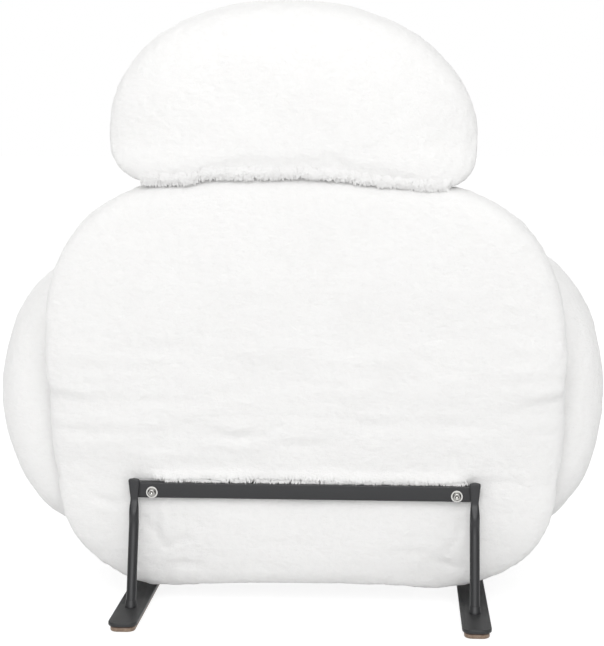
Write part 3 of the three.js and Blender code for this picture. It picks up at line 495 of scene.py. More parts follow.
# Slings: black woven polyester stretched over the seat frame and the back frame under the cushions.
# Each is pulled tight between its two side tubes, so it lies flat.
WEAVE_PITCH = 0.0016
SLING_COLOUR = (0.028, 0.028, 0.03, 1)
SLING_GAP = (0.008, 0.008, 0.009, 1)
SLING_WORN = (0.07, 0.07, 0.072, 1)


def plain_weave():
    """Plain weave: bands along X crossed by bands along Y and Z, high where one passes over the other."""
    group, given = pattern("plain weave", Colour=SLING_COLOUR)
    place = node(group, "ShaderNodeSeparateXYZ", {"Vector": stretched(group, (1, 1, 1))}).outputs
    waves = []
    for way in (place["X"], maths(group, "ADD", place["Y"], place["Z"])):
        waves.append(maths(group, "SINE", maths(group, "MULTIPLY", way, math.tau / WEAVE_PITCH)))
    over = spread(group, maths(group, "MULTIPLY", *waves), -1, 1)
    fade = grain(group, (1, 1, 1), 35, 3)
    shaded = blended(group, spread(group, over, 0, 1, 0.7, 0), given["Colour"], SLING_GAP)
    worn = blended(group, spread(group, fade, 0.4, 0.8, 0, 0.25), shaded, SLING_WORN)
    return put_out(group, worn, spread(group, fade, 0, 1, 0.8, 0.95), over)


webbing = finish("black_sling_weave", plain_weave(), None, 0.0004)
paint(webbing, "webbing", "seat_sling", "back_sling")
for name, rail in (("seat_sling", "seat_side_rail"), ("back_sling", "back_upright")):
    width, deep, tall = np.ptp(corners(name), axis=0)

# Arm boards: plywood stood in each arm and held off the side rail by two shouldered bolts.
# The layers show as bands along its sawn edges, under the arm's padding.
PLY_LIGHT = (0.55, 0.40, 0.24, 1)
PLY_DARK = (0.36, 0.23, 0.12, 1)

plywood = finish("bare_plywood", hardwood, {"Light": PLY_LIGHT, "Dark": PLY_DARK, "Stain": 0.0}, 0.0003)
paint(plywood, "plywood", "arm_board_left", "arm_board_right")
paint(bright_zinc, "bright_steel", *[f"arm_bolt_{end}_{side}" for end, _ in ENDS for side in SIDES])

# Seat cushion: a thick foam block in a white plush cover, with a full rounded front edge.
# The cover is sewn from a top, a bottom and a band, and its pile is short, dense and soft.
PLUSH_COLOUR = (0.91, 0.907, 0.90, 1)
PLUSH_SHADE = (0.70, 0.69, 0.675, 1)
FIBRE = 1500
LOCK = 150
COVER_CLOTH = {"quality": 4, "mass": 0.4, "tension_stiffness": 25, "compression_stiffness": 25,
               "shear_stiffness": 10, "bending_stiffness": 2.5, "use_pressure": True}
PUFF_FRAMES = 20
QUILT_VOXEL = 0.008
RIPPLE = 0.0011
SEAM_WIDTH = 0.006
SEAT_CORNERS = 5.0
SEAT_EDGE = 2.9
SEAT_SPREAD = 0.0135
SEAT_WAIST_DROP = 0.012
SEAT_DISH = 0.012
SEAT_FRONT_FULLNESS = 0.006
TOP_SEAM_INSET = 0.034
LOW_SEAM_INSET = 0.030
PLATE_ROOM = 0.07


def plush_pile():
    """Short pile: fibres that hang down, small locks that part between them, and broad brushed patches, with
    painted shade darkening the partings, the gaps between fibres and the patches.
    """
    group, given = pattern("plush pile", Colour=PLUSH_COLOUR, Shade=PLUSH_SHADE)
    fibres = grain(group, (1, 1, 0.5), FIBRE, 3, 0.65)
    locks = grain(group, (0.65, 0.8, 1), LOCK, 3, 0.6)
    patches = grain(group, (1, 1, 1), 11, 3)
    # Painted shade: the colour darkens towards the shade colour where the locks part and between the fibres.
    # The brushed patches paint the darker sheen of pile laid the other way.
    parting_shade = spread(group, locks, 0.34, 0.52, 0.07, 0)
    brushed = spread(group, patches, 0.35, 0.7, 0, 0.05)
    depth = maths(group, "ADD", parting_shade, spread(group, fibres, 0.3, 0.55, 0.10, 0))
    tone = blended(group, maths(group, "ADD", depth, brushed), given["Colour"], given["Shade"])
    height = maths(group, "ADD", maths(group, "MULTIPLY", fibres, 0.55), locks)
    return put_out(group, tone, spread(group, patches, 0.3, 0.7, 0.85, 0.98), height)


plush = finish("white_plush", plush_pile(), None, 0.0016, Sheen_Weight=0.35, Sheen_Roughness=0.45,
               Specular_IOR_Level=0.2)


def box_grid(across, deep, high):
    """A cube's surface in squares, with that many along X, Y and Z, from -1 to 1.

    The lines are spaced by the tangent, so that the squares stay even once the cube is rounded.
    """
    ticks = [np.tan(np.linspace(-1, 1, count + 1) * np.pi / 4) for count in (across, deep, high)]
    points, faces, first = [], [], 0
    for axis in range(3):
        one, two = (axis + 1) % 3, (axis + 2) % 3
        a, b = np.meshgrid(ticks[one], ticks[two], indexing="ij")
        for way in (-1, 1):
            sheet = np.full(a.shape + (3,), float(way))
            sheet[..., one] = a
            sheet[..., two] = b
            index = first + np.arange(a.size).reshape(a.shape)
            quads = np.stack([index[:-1, :-1], index[1:, :-1], index[1:, 1:], index[:-1, 1:]], -1)
            quads = quads.reshape(-1, 4)
            faces.append(quads if way > 0 else quads[:, ::-1])
            points.append(sheet.reshape(-1, 3))
            first += a.size
    points = np.concatenate(points)
    _, keep, place = np.unique(np.round(points, 6), axis=0, return_index=True, return_inverse=True)
    return points[keep], place.reshape(-1)[np.concatenate(faces)]


def unit(vectors):
    """The same ways with length 1."""
    return vectors / np.linalg.norm(vectors, axis=1, keepdims=True)


def plump(grid, middle, low, high, outline, edge, thin):
    """Swells a box grid into a stuffed form round middle.

    In its plane it is a superellipse of power outline, and through the axis thin one of power edge.
    low and high are how far it reaches each way, and a power may be an array with one value per point.
    """
    way = unit(grid)
    one, two = [axis for axis in range(3) if axis != thin]
    flat = (np.abs(way[:, one]) ** outline + np.abs(way[:, two]) ** outline) ** (1 / outline)
    size = (flat ** edge + np.abs(way[:, thin]) ** edge) ** (1 / edge)
    way /= size[:, None]
    return middle + way * np.where(way > 0, high, low)


def lattice_noise(points, cell, seed):
    """Smooth random heights from -1 to 1: a random number at each corner of a lattice, eased between them."""
    table = np.random.default_rng(seed).uniform(-1, 1, (31, 31, 31))
    scaled = points / np.asarray(cell)
    base = np.floor(scaled).astype(int)
    part = scaled - base
    part = part * part * (3 - 2 * part)
    total = np.zeros(len(points))
    for corner in np.ndindex(2, 2, 2):
        index = (base + corner) % 31
        weight = np.where(corner, part, 1 - part).prod(axis=1)
        total += weight * table[index[:, 0], index[:, 1], index[:, 2]]
    return total


def points_of(piece, what="co"):
    """A mesh's points, or their normals, as an array."""
    flat = np.empty(len(piece.data.vertices) * 3)
    piece.data.vertices.foreach_get(what, flat)
    return flat.reshape(-1, 3)


def move_points(piece, points):
    """Puts an array of points back into a mesh."""
    piece.data.vertices.foreach_set("co", np.ascontiguousarray(points).ravel())
    piece.data.update()


def settled(piece):
    """Turns a piece's modifiers into its mesh."""
    shown = piece.evaluated_get(bpy.context.evaluated_depsgraph_get())
    old = piece.data
    new = bpy.data.meshes.new_from_object(shown)
    piece.modifiers.clear()
    piece.data = new
    new.name = piece.name
    bpy.data.meshes.remove(old)


def remeshed(piece, voxel, rounds):
    """Covers a piece afresh with even squares, and rounds its corners a little."""
    remesh = piece.modifiers.new("even squares", "REMESH")
    remesh.mode = "VOXEL"
    remesh.voxel_size = voxel
    soften = piece.modifiers.new("soft corners", "SMOOTH")
    soften.factor = 0.5
    soften.iterations = rounds
    settled(piece)


def puffed(piece, pressure, slack, cap):
    """Blows a cover up as cloth with some slack in it, so that it swells and wrinkles.

    No point moves further than cap.
    """
    start = points_of(piece)
    cloth = piece.modifiers.new("cover", "CLOTH")
    for key, value in COVER_CLOTH.items():
        setattr(cloth.settings, key, value)
    cloth.settings.shrink_min = -slack
    cloth.settings.uniform_pressure_force = pressure
    cloth.settings.effector_weights.gravity = 0
    cloth.collision_settings.use_collision = False
    cloth.point_cache.frame_start = 1
    cloth.point_cache.frame_end = PUFF_FRAMES
    for step in range(PUFF_FRAMES):
        bpy.context.scene.frame_set(step + 1)
    settled(piece)
    bpy.context.scene.frame_set(1)
    moved = points_of(piece) - start
    length = np.linalg.norm(moved, axis=1, keepdims=True)
    move_points(piece, start + moved * np.minimum(1, cap / np.maximum(length, 1e-9)))


def refined(piece):
    """Divides every square into four on the smooth surface between them, and gives the piece's points."""
    divide = piece.modifiers.new("finer squares", "SUBSURF")
    divide.levels = divide.render_levels = 1
    settled(piece)
    return points_of(piece)


def stuffed(name, points, faces, voxel, rounds, pressure, slack, cap):
    """A cover laid in even squares, blown up as cloth and refined. Gives the piece and its points."""
    piece = skinned(name, points, faces.tolist(), plush, sharp=0)
    remeshed(piece, voxel, rounds)
    puffed(piece, pressure, slack, cap)
    return piece, refined(piece)


def brushed(piece, heights):
    """Moves a piece's points along its normals by heights, then by the pile's own small locks."""
    points = points_of(piece)
    normals = points_of(piece, "normal")
    lock = 0.0006 * lattice_noise(points, (0.011, 0.011, 0.017), 5)
    lock += 0.0004 * lattice_noise(points, (0.0055, 0.0055, 0.009), 6)
    swell = 0.0012 * lattice_noise(points, (0.07, 0.07, 0.07), 7)
    move_points(piece, points + normals * (heights + lock + swell)[:, None])
    piece.data.shade_smooth()


def seam(distance, points, width, depth, seed):
    """A sewn seam where distance is zero: a groove, puckered along its length."""
    pucker = 1 + 0.5 * lattice_noise(points, (0.022, 0.022, 0.022), seed)
    return -depth * pucker * hump(distance, width)


def softly_above(value, floor, blend):
    """The larger of two values, with a smooth turn from one to the other."""
    return (value + floor + np.sqrt((value - floor) ** 2 + blend ** 2)) / 2


def softly_below(value, ceiling, blend):
    """The smaller of two values, with a smooth turn from one to the other."""
    return (value + ceiling - np.sqrt((value - ceiling) ** 2 + blend ** 2)) / 2


def padded(piece, body, node_name):
    """A padded piece in plush, in place of its CAD node."""
    fitted(piece, body, "plush", node_name)


low, high = corners("seat_cushion")
middle = (low + high) / 2 - (0, 0, SEAT_WAIST_DROP)
grid, faces = box_grid(44, 44, 16)
points = plump(grid, middle, middle - low, high - middle, SEAT_CORNERS, SEAT_EDGE, 2)
forward = ramp(middle[1] - points[:, 1], -PLATE_ROOM, 0)
points[:, 0] *= 1 + SEAT_SPREAD / high[0] * forward
along = (points[:, 1] - middle[1]) / (high[1] - middle[1])
upper = ramp(points[:, 2], middle[2], high[2])
points[:, 2] -= SEAT_DISH * upper * np.exp(-((along - 0.1) / 0.55) ** 2 - (points[:, 0] / 0.2) ** 2)
points[:, 1] -= SEAT_FRONT_FULLNESS * ramp(-along, 0.6, 1)
seat, points = stuffed("seat_cushion_plush", points, faces, 0.009, 4, 3.0, 0.02, 0.008)
outward = np.maximum(np.abs(points[:, 0]) / high[0], np.abs(points[:, 1] - middle[1]) / (high[1] - middle[1]))
rim = ramp(outward, 0.8, 0.93)
heights = seam(points[:, 2] - (high[2] - TOP_SEAM_INSET), points, SEAM_WIDTH, 0.0035, 11) * rim
heights += seam(points[:, 2] - (low[2] + LOW_SEAM_INSET), points, SEAM_WIDTH, 0.0035, 12) * rim
heights += 0.0016 * lattice_noise(points, (0.12, 0.035, 0.06), 13) * ramp(-points[:, 1], 0.1, 0.34)
brushed(seat, heights)
padded(seat, "base", "seat_cushion")

# Back cushion: a softer pad on the back's sling, filled to a crown, between the two arms.
# It is given across, by its depth behind the hinge and by its height up the reclined back.
RECLINE = math.radians(12)
HINGE = np.array(frame["joints"][0]["pos_m"])
CUSHION_HALF_WIDTH = 0.2865
CUSHION_REAR = 0.0762
CUSHION_FRONT = 0.010
CUSHION_FOOT = 0.022
CUSHION_TOP = 0.268
CUSHION_MIDDLE = 0.052
CUSHION_CORNERS = 4.2
CUSHION_EDGE = 2.6
CUSHION_SEAM = 0.05
CHANNEL_RISE = 0.02
CHANNEL_DEPTH = 0.010


def on_the_back(points):
    """Points given as across, depth behind the hinge and height up the back, put in the chair's frame."""
    cos, sin = math.cos(RECLINE), math.sin(RECLINE)
    x, deep, up = np.asarray(points).T
    return np.stack([x, HINGE[1] + deep * cos + up * sin, HINGE[2] - deep * sin + up * cos], -1)


def from_the_back(points):
    """The other way: points in the chair's frame given as across, depth and height on the back."""
    cos, sin = math.cos(RECLINE), math.sin(RECLINE)
    x, y, z = np.asarray(points).T
    y = y - HINGE[1]
    z = z - HINGE[2]
    return np.stack([x, y * cos - z * sin, y * sin + z * cos], -1)


middle = np.array([0, CUSHION_MIDDLE, (CUSHION_FOOT + CUSHION_TOP) / 2])
low_reach = middle - (-CUSHION_HALF_WIDTH, CUSHION_FRONT, CUSHION_FOOT)
high_reach = np.array([CUSHION_HALF_WIDTH, CUSHION_REAR, CUSHION_TOP]) - middle
grid, faces = box_grid(44, 12, 24)
points = plump(grid, middle, low_reach, high_reach, CUSHION_CORNERS, CUSHION_EDGE, 1)
front = ramp(middle[1] - points[:, 1], 0, 0.03)
channel = hump(points[:, 2] - middle[2] - CHANNEL_RISE, 0.028)
points[:, 1] += CHANNEL_DEPTH * front * channel * (1 - (points[:, 0] / 0.4) ** 2)
back_pad, points = stuffed("back_cushion_plush", on_the_back(points), faces, 0.008, 4, 3.0, 0.02, 0.006)
local = from_the_back(points)
heights = seam(local[:, 1] - CUSHION_SEAM, points, SEAM_WIDTH, 0.003, 21)
channel = seam(local[:, 2] - middle[2] - CHANNEL_RISE, points, 0.007, 0.004, 22)
heights += channel * ramp(0.03 - local[:, 1], -0.01, 0.005)
heights += 0.0014 * lattice_noise(points, (0.09, 0.05, 0.03), 23)
brushed(back_pad, heights)
padded(back_pad, "back", "back_cushion")

# Rear shell: the plush back of the chair, fibre wadding over a felt liner, as one broad rounded pad.
# It wraps the back frame with a thick wing each side, and its hem rests on the rear crossbar.
SHELL_HALF_WIDTH = 0.394
SHELL_WAIST = -0.034
SHELL_RISE = 0.346
SHELL_DROP = 0.340
BEND = -0.170
BEND_BLEND = 0.045
SHELL_TOP = 0.2855
SHELL_CROWN = 0.0185
SHELL_STEP = 0.46
SHELL_STEP_AT = (0.130, 0.165)
SHELL_LIP = 0.12
SHELL_REAR = 0.151
SHELL_MIDDLE = 0.092
SHELL_FRONT = 0.047
SHELL_HIGH_CORNERS = (3.1, 2.95)
SHELL_LOW_CORNERS = 4.5
SHELL_RIM = 8.5
SHELL_REAR_EDGE = 4.2
SHELL_FRONT_EDGE = 3.0
FRAME_ROOM_HALF = 0.3085
FRAME_ROOM_DEPTH = 0.1012
ARM_ROOM = 0.068
ARM_ROOM_TOP = 0.556
HEM = 0.1982
BAR_MIDDLE = BAR_TOP - BAR_HEIGHT / 2
BAR_PLANE = HINGE[1] + 0.118
SKIN_AT_BAR = BAR_PLANE - 0.0088
BELLY_TOP = 0.1977
BELLY_HALF_WIDTH = 0.283
BELLY_FLOOR = 0.030
BELLY_FRONT_DROP = 0.070
BELLY_ARCH = 0.006
LEG_MIDDLE = 0.232
CREASE_DEPTH = 0.0030
CREASES = (((0.250, 0.140), (0.210, 0.086)), ((0.218, 0.088), (0.176, 0.112)),
           ((0.216, 0.064), (0.150, 0.060)), ((-0.248, 0.150), (-0.220, 0.082)),
           ((-0.246, 0.064), (-0.180, 0.078)), ((0.276, 0.148), (0.330, 0.172)))
FOLDS = ((0.102, 0.268, 0.045, 0.010, 0.004), (-0.108, 0.288, 0.036, 0.010, 0.0028))
SLACK = ((0.245, 0.0085), (-0.232, 0.004))


def sliced(piece, height, keep_above):
    """Cuts a piece level at a height and closes the cut with a flat face."""
    shape = bmesh.new()
    shape.from_mesh(piece.data)
    cut = bmesh.ops.bisect_plane(shape, geom=shape.verts[:] + shape.edges[:] + shape.faces[:], dist=1e-6,
                                 plane_co=(0, 0, height), plane_no=(0, 0, 1),
                                 clear_inner=keep_above, clear_outer=not keep_above)
    edges = [part for part in cut["geom_cut"] if isinstance(part, bmesh.types.BMEdge)]
    bmesh.ops.triangle_fill(shape, edges=edges, use_beauty=False)
    bmesh.ops.recalc_face_normals(shape, faces=shape.faces)
    shape.to_mesh(piece.data)
    shape.free()
    piece.data.set_sharp_from_angle(angle=math.radians(60))


def bar_dent(points):
    """How far back the skin may lie: pressed in by the crossbar where that runs, and free further off."""
    off = np.abs(points[:, 2] - BAR_MIDDLE)
    clear = ramp(off, 0.010, 0.040)
    past = ramp(np.abs(points[:, 0]), 0.262, 0.300)
    return SKIN_AT_BAR + 0.0005 + 0.030 * np.maximum(clear, past) + 0.6 * np.maximum(off - 0.04, 0)


def merged(name, *pieces):
    """One mesh object from several, in place of them."""
    shape = bmesh.new()
    for piece in pieces:
        shape.from_mesh(piece.data)
        bpy.data.objects.remove(piece)
    mesh = bpy.data.meshes.new(name)
    shape.to_mesh(mesh)
    shape.free()
    mesh.materials.append(plush)
    return placed(name, mesh)


def on_the_bent_back(points):
    """The same as on_the_back down to BEND, and from there down the line of the back is upright."""
    ups = np.linspace(-0.5, 0.5, 2001)
    lean = RECLINE * ramp(ups, BEND - BEND_BLEND, BEND + BEND_BLEND)
    step = ups[1] - ups[0]
    at_hinge = np.searchsorted(ups, 0.0)
    run = np.cumsum(np.sin(lean)) * step
    rise = np.cumsum(np.cos(lean)) * step
    x, deep, up = np.asarray(points).T
    turn = np.interp(up, ups, lean)
    y = HINGE[1] + np.interp(up, ups, run - run[at_hinge]) + deep * np.cos(turn)
    z = HINGE[2] + np.interp(up, ups, rise - rise[at_hinge]) - deep * np.sin(turn)
    return np.stack([x, y, z], -1)


def belly_line(points):
    """How far the underside lies above its level line: arched in the middle, and slack beside the legs."""
    rise = BELLY_ARCH * hump(points[:, 0], 0.16)
    for x, slack in SLACK:
        rise -= slack * hump(points[:, 0] - x, 0.06)
    return rise * ramp(-points[:, 2], -0.16, -0.04)


def shell_roof(x, deep):
    """How high up the back the shell's top lies under the pillow: crowned, and rising to its rear rim."""
    crown = SHELL_CROWN * (1 - SHELL_STEP * ramp(x, *SHELL_STEP_AT)) * ramp(x, -0.20, 0.0)
    return SHELL_TOP + crown + SHELL_LIP * np.maximum(deep - FRAME_ROOM_DEPTH, 0)


def shell_lump():
    """The rear skin: a superellipsoid on the bent back, flat over the frame and cut short for the arms."""
    middle = np.array([0, SHELL_MIDDLE, SHELL_WAIST])
    low_reach = np.array([SHELL_HALF_WIDTH, SHELL_MIDDLE - SHELL_FRONT, SHELL_DROP])
    high_reach = np.array([SHELL_HALF_WIDTH, SHELL_REAR - SHELL_MIDDLE, SHELL_RISE])
    grid, faces = box_grid(70, 18, 56)
    high = grid[:, 2] > 0
    outline = np.where(high, np.where(grid[:, 0] > 0, *SHELL_HIGH_CORNERS), SHELL_LOW_CORNERS)
    edge = np.where(grid[:, 1] > 0, np.where(high, SHELL_RIM, SHELL_REAR_EDGE), SHELL_FRONT_EDGE)
    points = plump(grid, middle, low_reach, high_reach, outline, edge, 1)
    points[:, 2] = softly_below(points[:, 2], shell_roof(points[:, 0], points[:, 1]), 0.004)
    inside = 1 - ramp(np.abs(points[:, 0]), FRAME_ROOM_HALF - 0.004, FRAME_ROOM_HALF + 0.006)
    room = SHELL_FRONT - 0.02 + (FRAME_ROOM_DEPTH - SHELL_FRONT + 0.02) * inside
    points[:, 1] = softly_above(points[:, 1], room, 0.004)
    points = on_the_bent_back(points)
    beside = 1 - ramp(points[:, 2], ARM_ROOM_TOP - 0.02, ARM_ROOM_TOP + 0.02)
    points[:, 1] = softly_above(points[:, 1], HINGE[1] + ARM_ROOM - 0.08 * (1 - beside), 0.01)
    points[:, 1] = softly_below(points[:, 1], bar_dent(points), 0.004)
    points[:, 2] += belly_line(points)
    return skinned("shell_lump", points, faces.tolist(), plush, sharp=0)


def bag_lump():
    """The underside: a bag with a level roof, deep behind and shallow in front."""
    low, high = corners("belly_pad")
    bag_rear = BAR_PLANE - 0.014
    roof = BELLY_TOP - 0.004
    middle = np.array([0, (low[1] + bag_rear) / 2, roof])
    reach = np.array([BELLY_HALF_WIDTH, (bag_rear - low[1]) / 2, 0.003])
    grid, faces = box_grid(50, 40, 14)
    points = plump(grid, middle, np.append(reach[:2], 1.0), reach, 4.0, 2.5, 2)
    rearward = (points[:, 1] - low[1]) / (bag_rear - low[1])
    drop = BELLY_FRONT_DROP + (roof - BELLY_FLOOR - BELLY_FRONT_DROP) * rearward
    points[:, 2] = np.where(points[:, 2] < roof, roof - (roof - points[:, 2]) * drop, points[:, 2])
    points[:, 2] += belly_line(points)
    return skinned("bag_lump", points, faces.tolist(), plush, sharp=0)


body = merged("rear_shell_plush", shell_lump(), bag_lump())
remeshed(body, QUILT_VOXEL, 4)
points = refined(body)
low_back = ramp(0.47 - points[:, 2], 0, 0.12) * ramp(points[:, 2], 0.20, 0.26)
rearwards = ramp(points[:, 1], 0.19, 0.23)
heights = RIPPLE * 1.5 * lattice_noise(points, (0.11, 0.06, 0.017), 31) * low_back * rearwards
heights += RIPPLE * lattice_noise(points, (0.20, 0.10, 0.05), 32)
wrinkles = 0.7 * RIPPLE * lattice_noise(points, (0.045, 0.06, 0.0125), 34)
heights += wrinkles * rearwards * ramp(0.56 - points[:, 2], 0, 0.2)
for x, z, wide, tall, deep in FOLDS:
    ridge = z + 0.012 + 0.25 * np.abs(points[:, 0] - x) ** 1.3
    reach = hump(points[:, 0] - x, wide) * rearwards
    heights -= deep * hump(points[:, 2] - ridge + 0.012, tall) * reach
    heights += 0.5 * deep * hump(points[:, 2] - ridge - 0.006, tall) * reach
over_bar = hump(points[:, 2] - BAR_TOP - 0.010, 0.007) * (1 - ramp(np.abs(points[:, 0]), 0.22, 0.26))
heights += 0.005 * over_bar * rearwards * (1 + 0.5 * lattice_noise(points, (0.03, 0.05, 0.02), 33))
below_bar = ramp(BAR_MIDDLE - points[:, 2], 0.012, 0.04)
for way in (-1, 1):
    beside_leg = hump(points[:, 0] - way * LEG_MIDDLE, 0.022) * rearwards * below_bar
    heights += 0.0022 * lattice_noise(points, (0.012, 0.05, 0.07), 42) * beside_leg
wander = 0.006 * lattice_noise(points, (0.03, 0.05, 0.02), 43)
for start, end in CREASES:
    start, end = np.array(start), np.array(end)
    along = np.clip((points[:, [0, 2]] - start) @ (end - start) / ((end - start) ** 2).sum(), 0, 1)
    off = np.linalg.norm(points[:, [0, 2]] - start - along[:, None] * (end - start), axis=1) + wander
    heights -= CREASE_DEPTH * 2 * np.sqrt(along * (1 - along)) * hump(off, 0.008) * rearwards
brushed(body, heights)
lower = placed("belly_pad_plush", body.data.copy())
sliced(body, HEM, keep_above=True)
padded(body, "back", "rear_shell")

# Belly pad: the body's underside, the same plush over wadding, slung under the seat frame.
# Behind, it carries on the shell's skin below the hem, and it is laced up to the rails.
sliced(lower, BELLY_TOP, keep_above=False)
padded(lower, "base", "belly_pad")

# Arm bolsters: two round-backed rolls of wadding in plush, flat on the side towards the seat.
# Each is pulled over its board and sewn along its inner edge.
ARM_CREST = 0.325
ARM_SEAM_INSET = 0.022
ARM_SHAPES = {"left": (0.497, 0.538, 0.084), "right": (0.466, 0.543, 0.094)}
ARM_OUTLINES = (4.0, 2.1)
ARM_EDGES = (5.5, 3.2)
ARM_FRONT_DROP = 0.034

for side, (outer, top, foot) in ARM_SHAPES.items():
    low, high = corners(f"arm_bolster_{side}")
    inner = min(abs(low[0]), abs(high[0]))
    way = 1 if side == "left" else -1
    middle = np.array([ARM_CREST, (low[1] + high[1]) / 2, (top + foot) / 2])
    low_reach = middle - (inner, low[1], foot)
    high_reach = np.array([outer, high[1], top]) - middle
    grid, faces = box_grid(26, 50, 40)
    outline = np.where(grid[:, 0] < 0, *ARM_OUTLINES)
    edge = np.where(grid[:, 1] > 0, *ARM_EDGES)
    points = plump(grid, middle, low_reach, high_reach, outline, edge, 1)
    ahead = (high[1] - points[:, 1]) / (high[1] - low[1])
    lifted = (points[:, 2] - foot) / (top - foot)
    points[:, 2] -= ARM_FRONT_DROP * ahead ** 2 * lifted
    points[:, 0] *= way
    arm, points = stuffed(f"arm_bolster_plush_{side}", points, faces, QUILT_VOXEL, 3, 2.5, 0.015, 0.004)
    across = np.abs(points[:, 0]) - inner
    heights = seam(across - ARM_SEAM_INSET, points, SEAM_WIDTH, 0.004, 51)
    heights += RIPPLE * 1.6 * lattice_noise(points, (0.03, 0.10, 0.05), 52)
    heights += 0.0016 * lattice_noise(points, (0.05, 0.018, 0.018), 53) * hump(across - 0.03, 0.03)
    brushed(arm, heights)
    padded(arm, "base", f"arm_bolster_{side}")
    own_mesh(arm)

# Head pillow: a big domed pill of wadding in plush, over the headrest board.
# Its rear panel is drawn round and sewn to the front one, and its underside lies on the shell's top.
PILLOW_SHIFT = 0.014
PILLOW_HALF_WIDTH = 0.2695
PILLOW_FOOT = 0.270
PILLOW_WAIST = 0.350
PILLOW_TOP = 0.5500
PILLOW_DEPTH = 0.084
PILLOW_HALF_THICKNESS = 0.064
PILLOW_LOW_CORNERS = (2.6, 3.9)
PILLOW_HIGH_CORNERS = (2.22, 2.0)
PILLOW_EDGE = 3.0
PILLOW_FOOT_FULLNESS = 3.0
PILLOW_SEAT = -0.0005
PILLOW_SEAM_AHEAD = 0.036

middle = np.array([PILLOW_SHIFT, PILLOW_DEPTH, PILLOW_WAIST])
low_reach = np.array([PILLOW_HALF_WIDTH, PILLOW_HALF_THICKNESS, PILLOW_WAIST - PILLOW_FOOT])
high_reach = np.array([PILLOW_HALF_WIDTH, PILLOW_HALF_THICKNESS, PILLOW_TOP - PILLOW_WAIST])
grid, faces = box_grid(50, 18, 34)
on_left = grid[:, 0] > 0
low_corners, high_corners = np.where(on_left, *PILLOW_LOW_CORNERS), np.where(on_left, *PILLOW_HIGH_CORNERS)
outline = np.where(grid[:, 2] < 0, low_corners, high_corners)
edge = PILLOW_EDGE + PILLOW_FOOT_FULLNESS * ramp(-grid[:, 2], -0.2, 0.9) * ramp(grid[:, 1], -0.8, 0.0)
points = plump(grid, middle, low_reach, high_reach, outline, edge, 1)
turn = 0.002 + 0.010 * ramp(PILLOW_DEPTH - points[:, 1], 0.01, 0.05)
points[:, 2] = softly_above(points[:, 2], shell_roof(points[:, 0], points[:, 1]) + PILLOW_SEAT, turn)
pillow, points = stuffed("head_pillow_plush", on_the_back(points), faces, 0.006, 3, 2.0, 0.002, 0.003)
local = from_the_back(points)
heights = seam(local[:, 1] - PILLOW_DEPTH + PILLOW_SEAM_AHEAD, points, 0.005, 0.002, 61)
heights += RIPPLE * lattice_noise(points, (0.09, 0.09, 0.06), 63)
brushed(pillow, heights)
padded(pillow, "headrest", "head_pillow")
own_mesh(pillow)

# Long pile: the longer pile along the shell's hem, brushed down over the crossbar's top edge, and along
# the pillow's foot. It is the same plush, and it hides the lines where one cover ends on the next.
PILE_SEED = 71
PILE_LENGTH = 0.008
PILE_WIDTH = 0.0026
LOCK_LIFT = 0.0004
LOCK_THICKNESS = 0.0006
LOCK_SINK = 0.0003
HEM_BAND = 0.012
HEM_TUFTS = 3000
FOOT_BAND = 0.014
FOOT_TUFTS = 4200
FOOT_HANG = 0.85
FOOT_PILE_LENGTH = 0.0115
EDGE_TUFTS = 700
EDGE_REACH = (-0.246, 0.212)
EDGE_RISES = (0.0028, 0.0055)
EDGE_LENGTHS = (0.0082, 0.0112)
EDGE_DROOP = 0.0036


def locks(roots, outwards, ways, lengths, widths, droop=0.0):
    """Flat four-sided locks: each leaves its root along its way and droops, in five levels to a tip."""
    share = np.linspace(0, 1, 5)[None, :, None]
    lift = LOCK_LIFT * np.sin(np.pi * share) - LOCK_SINK
    spine = roots[:, None] + lengths[:, None, None] * ways[:, None] * share + outwards[:, None] * lift
    spine[..., 2] -= droop * share[..., 0] ** 2
    side = unit(np.cross(ways, outwards))
    taper = np.sqrt(np.clip(1 - share ** 2.2, 0.004, 1)) * widths[:, None, None] / 2
    thick = LOCK_THICKNESS * np.sqrt(np.clip(1 - share ** 2.2, 0.01, 1)) / 2
    points = np.stack([spine + side[:, None] * taper, spine + outwards[:, None] * thick,
                       spine - side[:, None] * taper, spine - outwards[:, None] * thick], 2)
    index = np.arange(points[..., 0].size).reshape(points.shape[:3])
    low, high = index[:, :-1], index[:, 1:]
    quads = np.stack([low, np.roll(low, -1, 2), np.roll(high, -1, 2), high], -1).reshape(-1, 4)
    caps = np.concatenate([index[:, 0, ::-1], index[:, -1]])
    return points.reshape(-1, 3), quads.tolist() + caps.tolist()


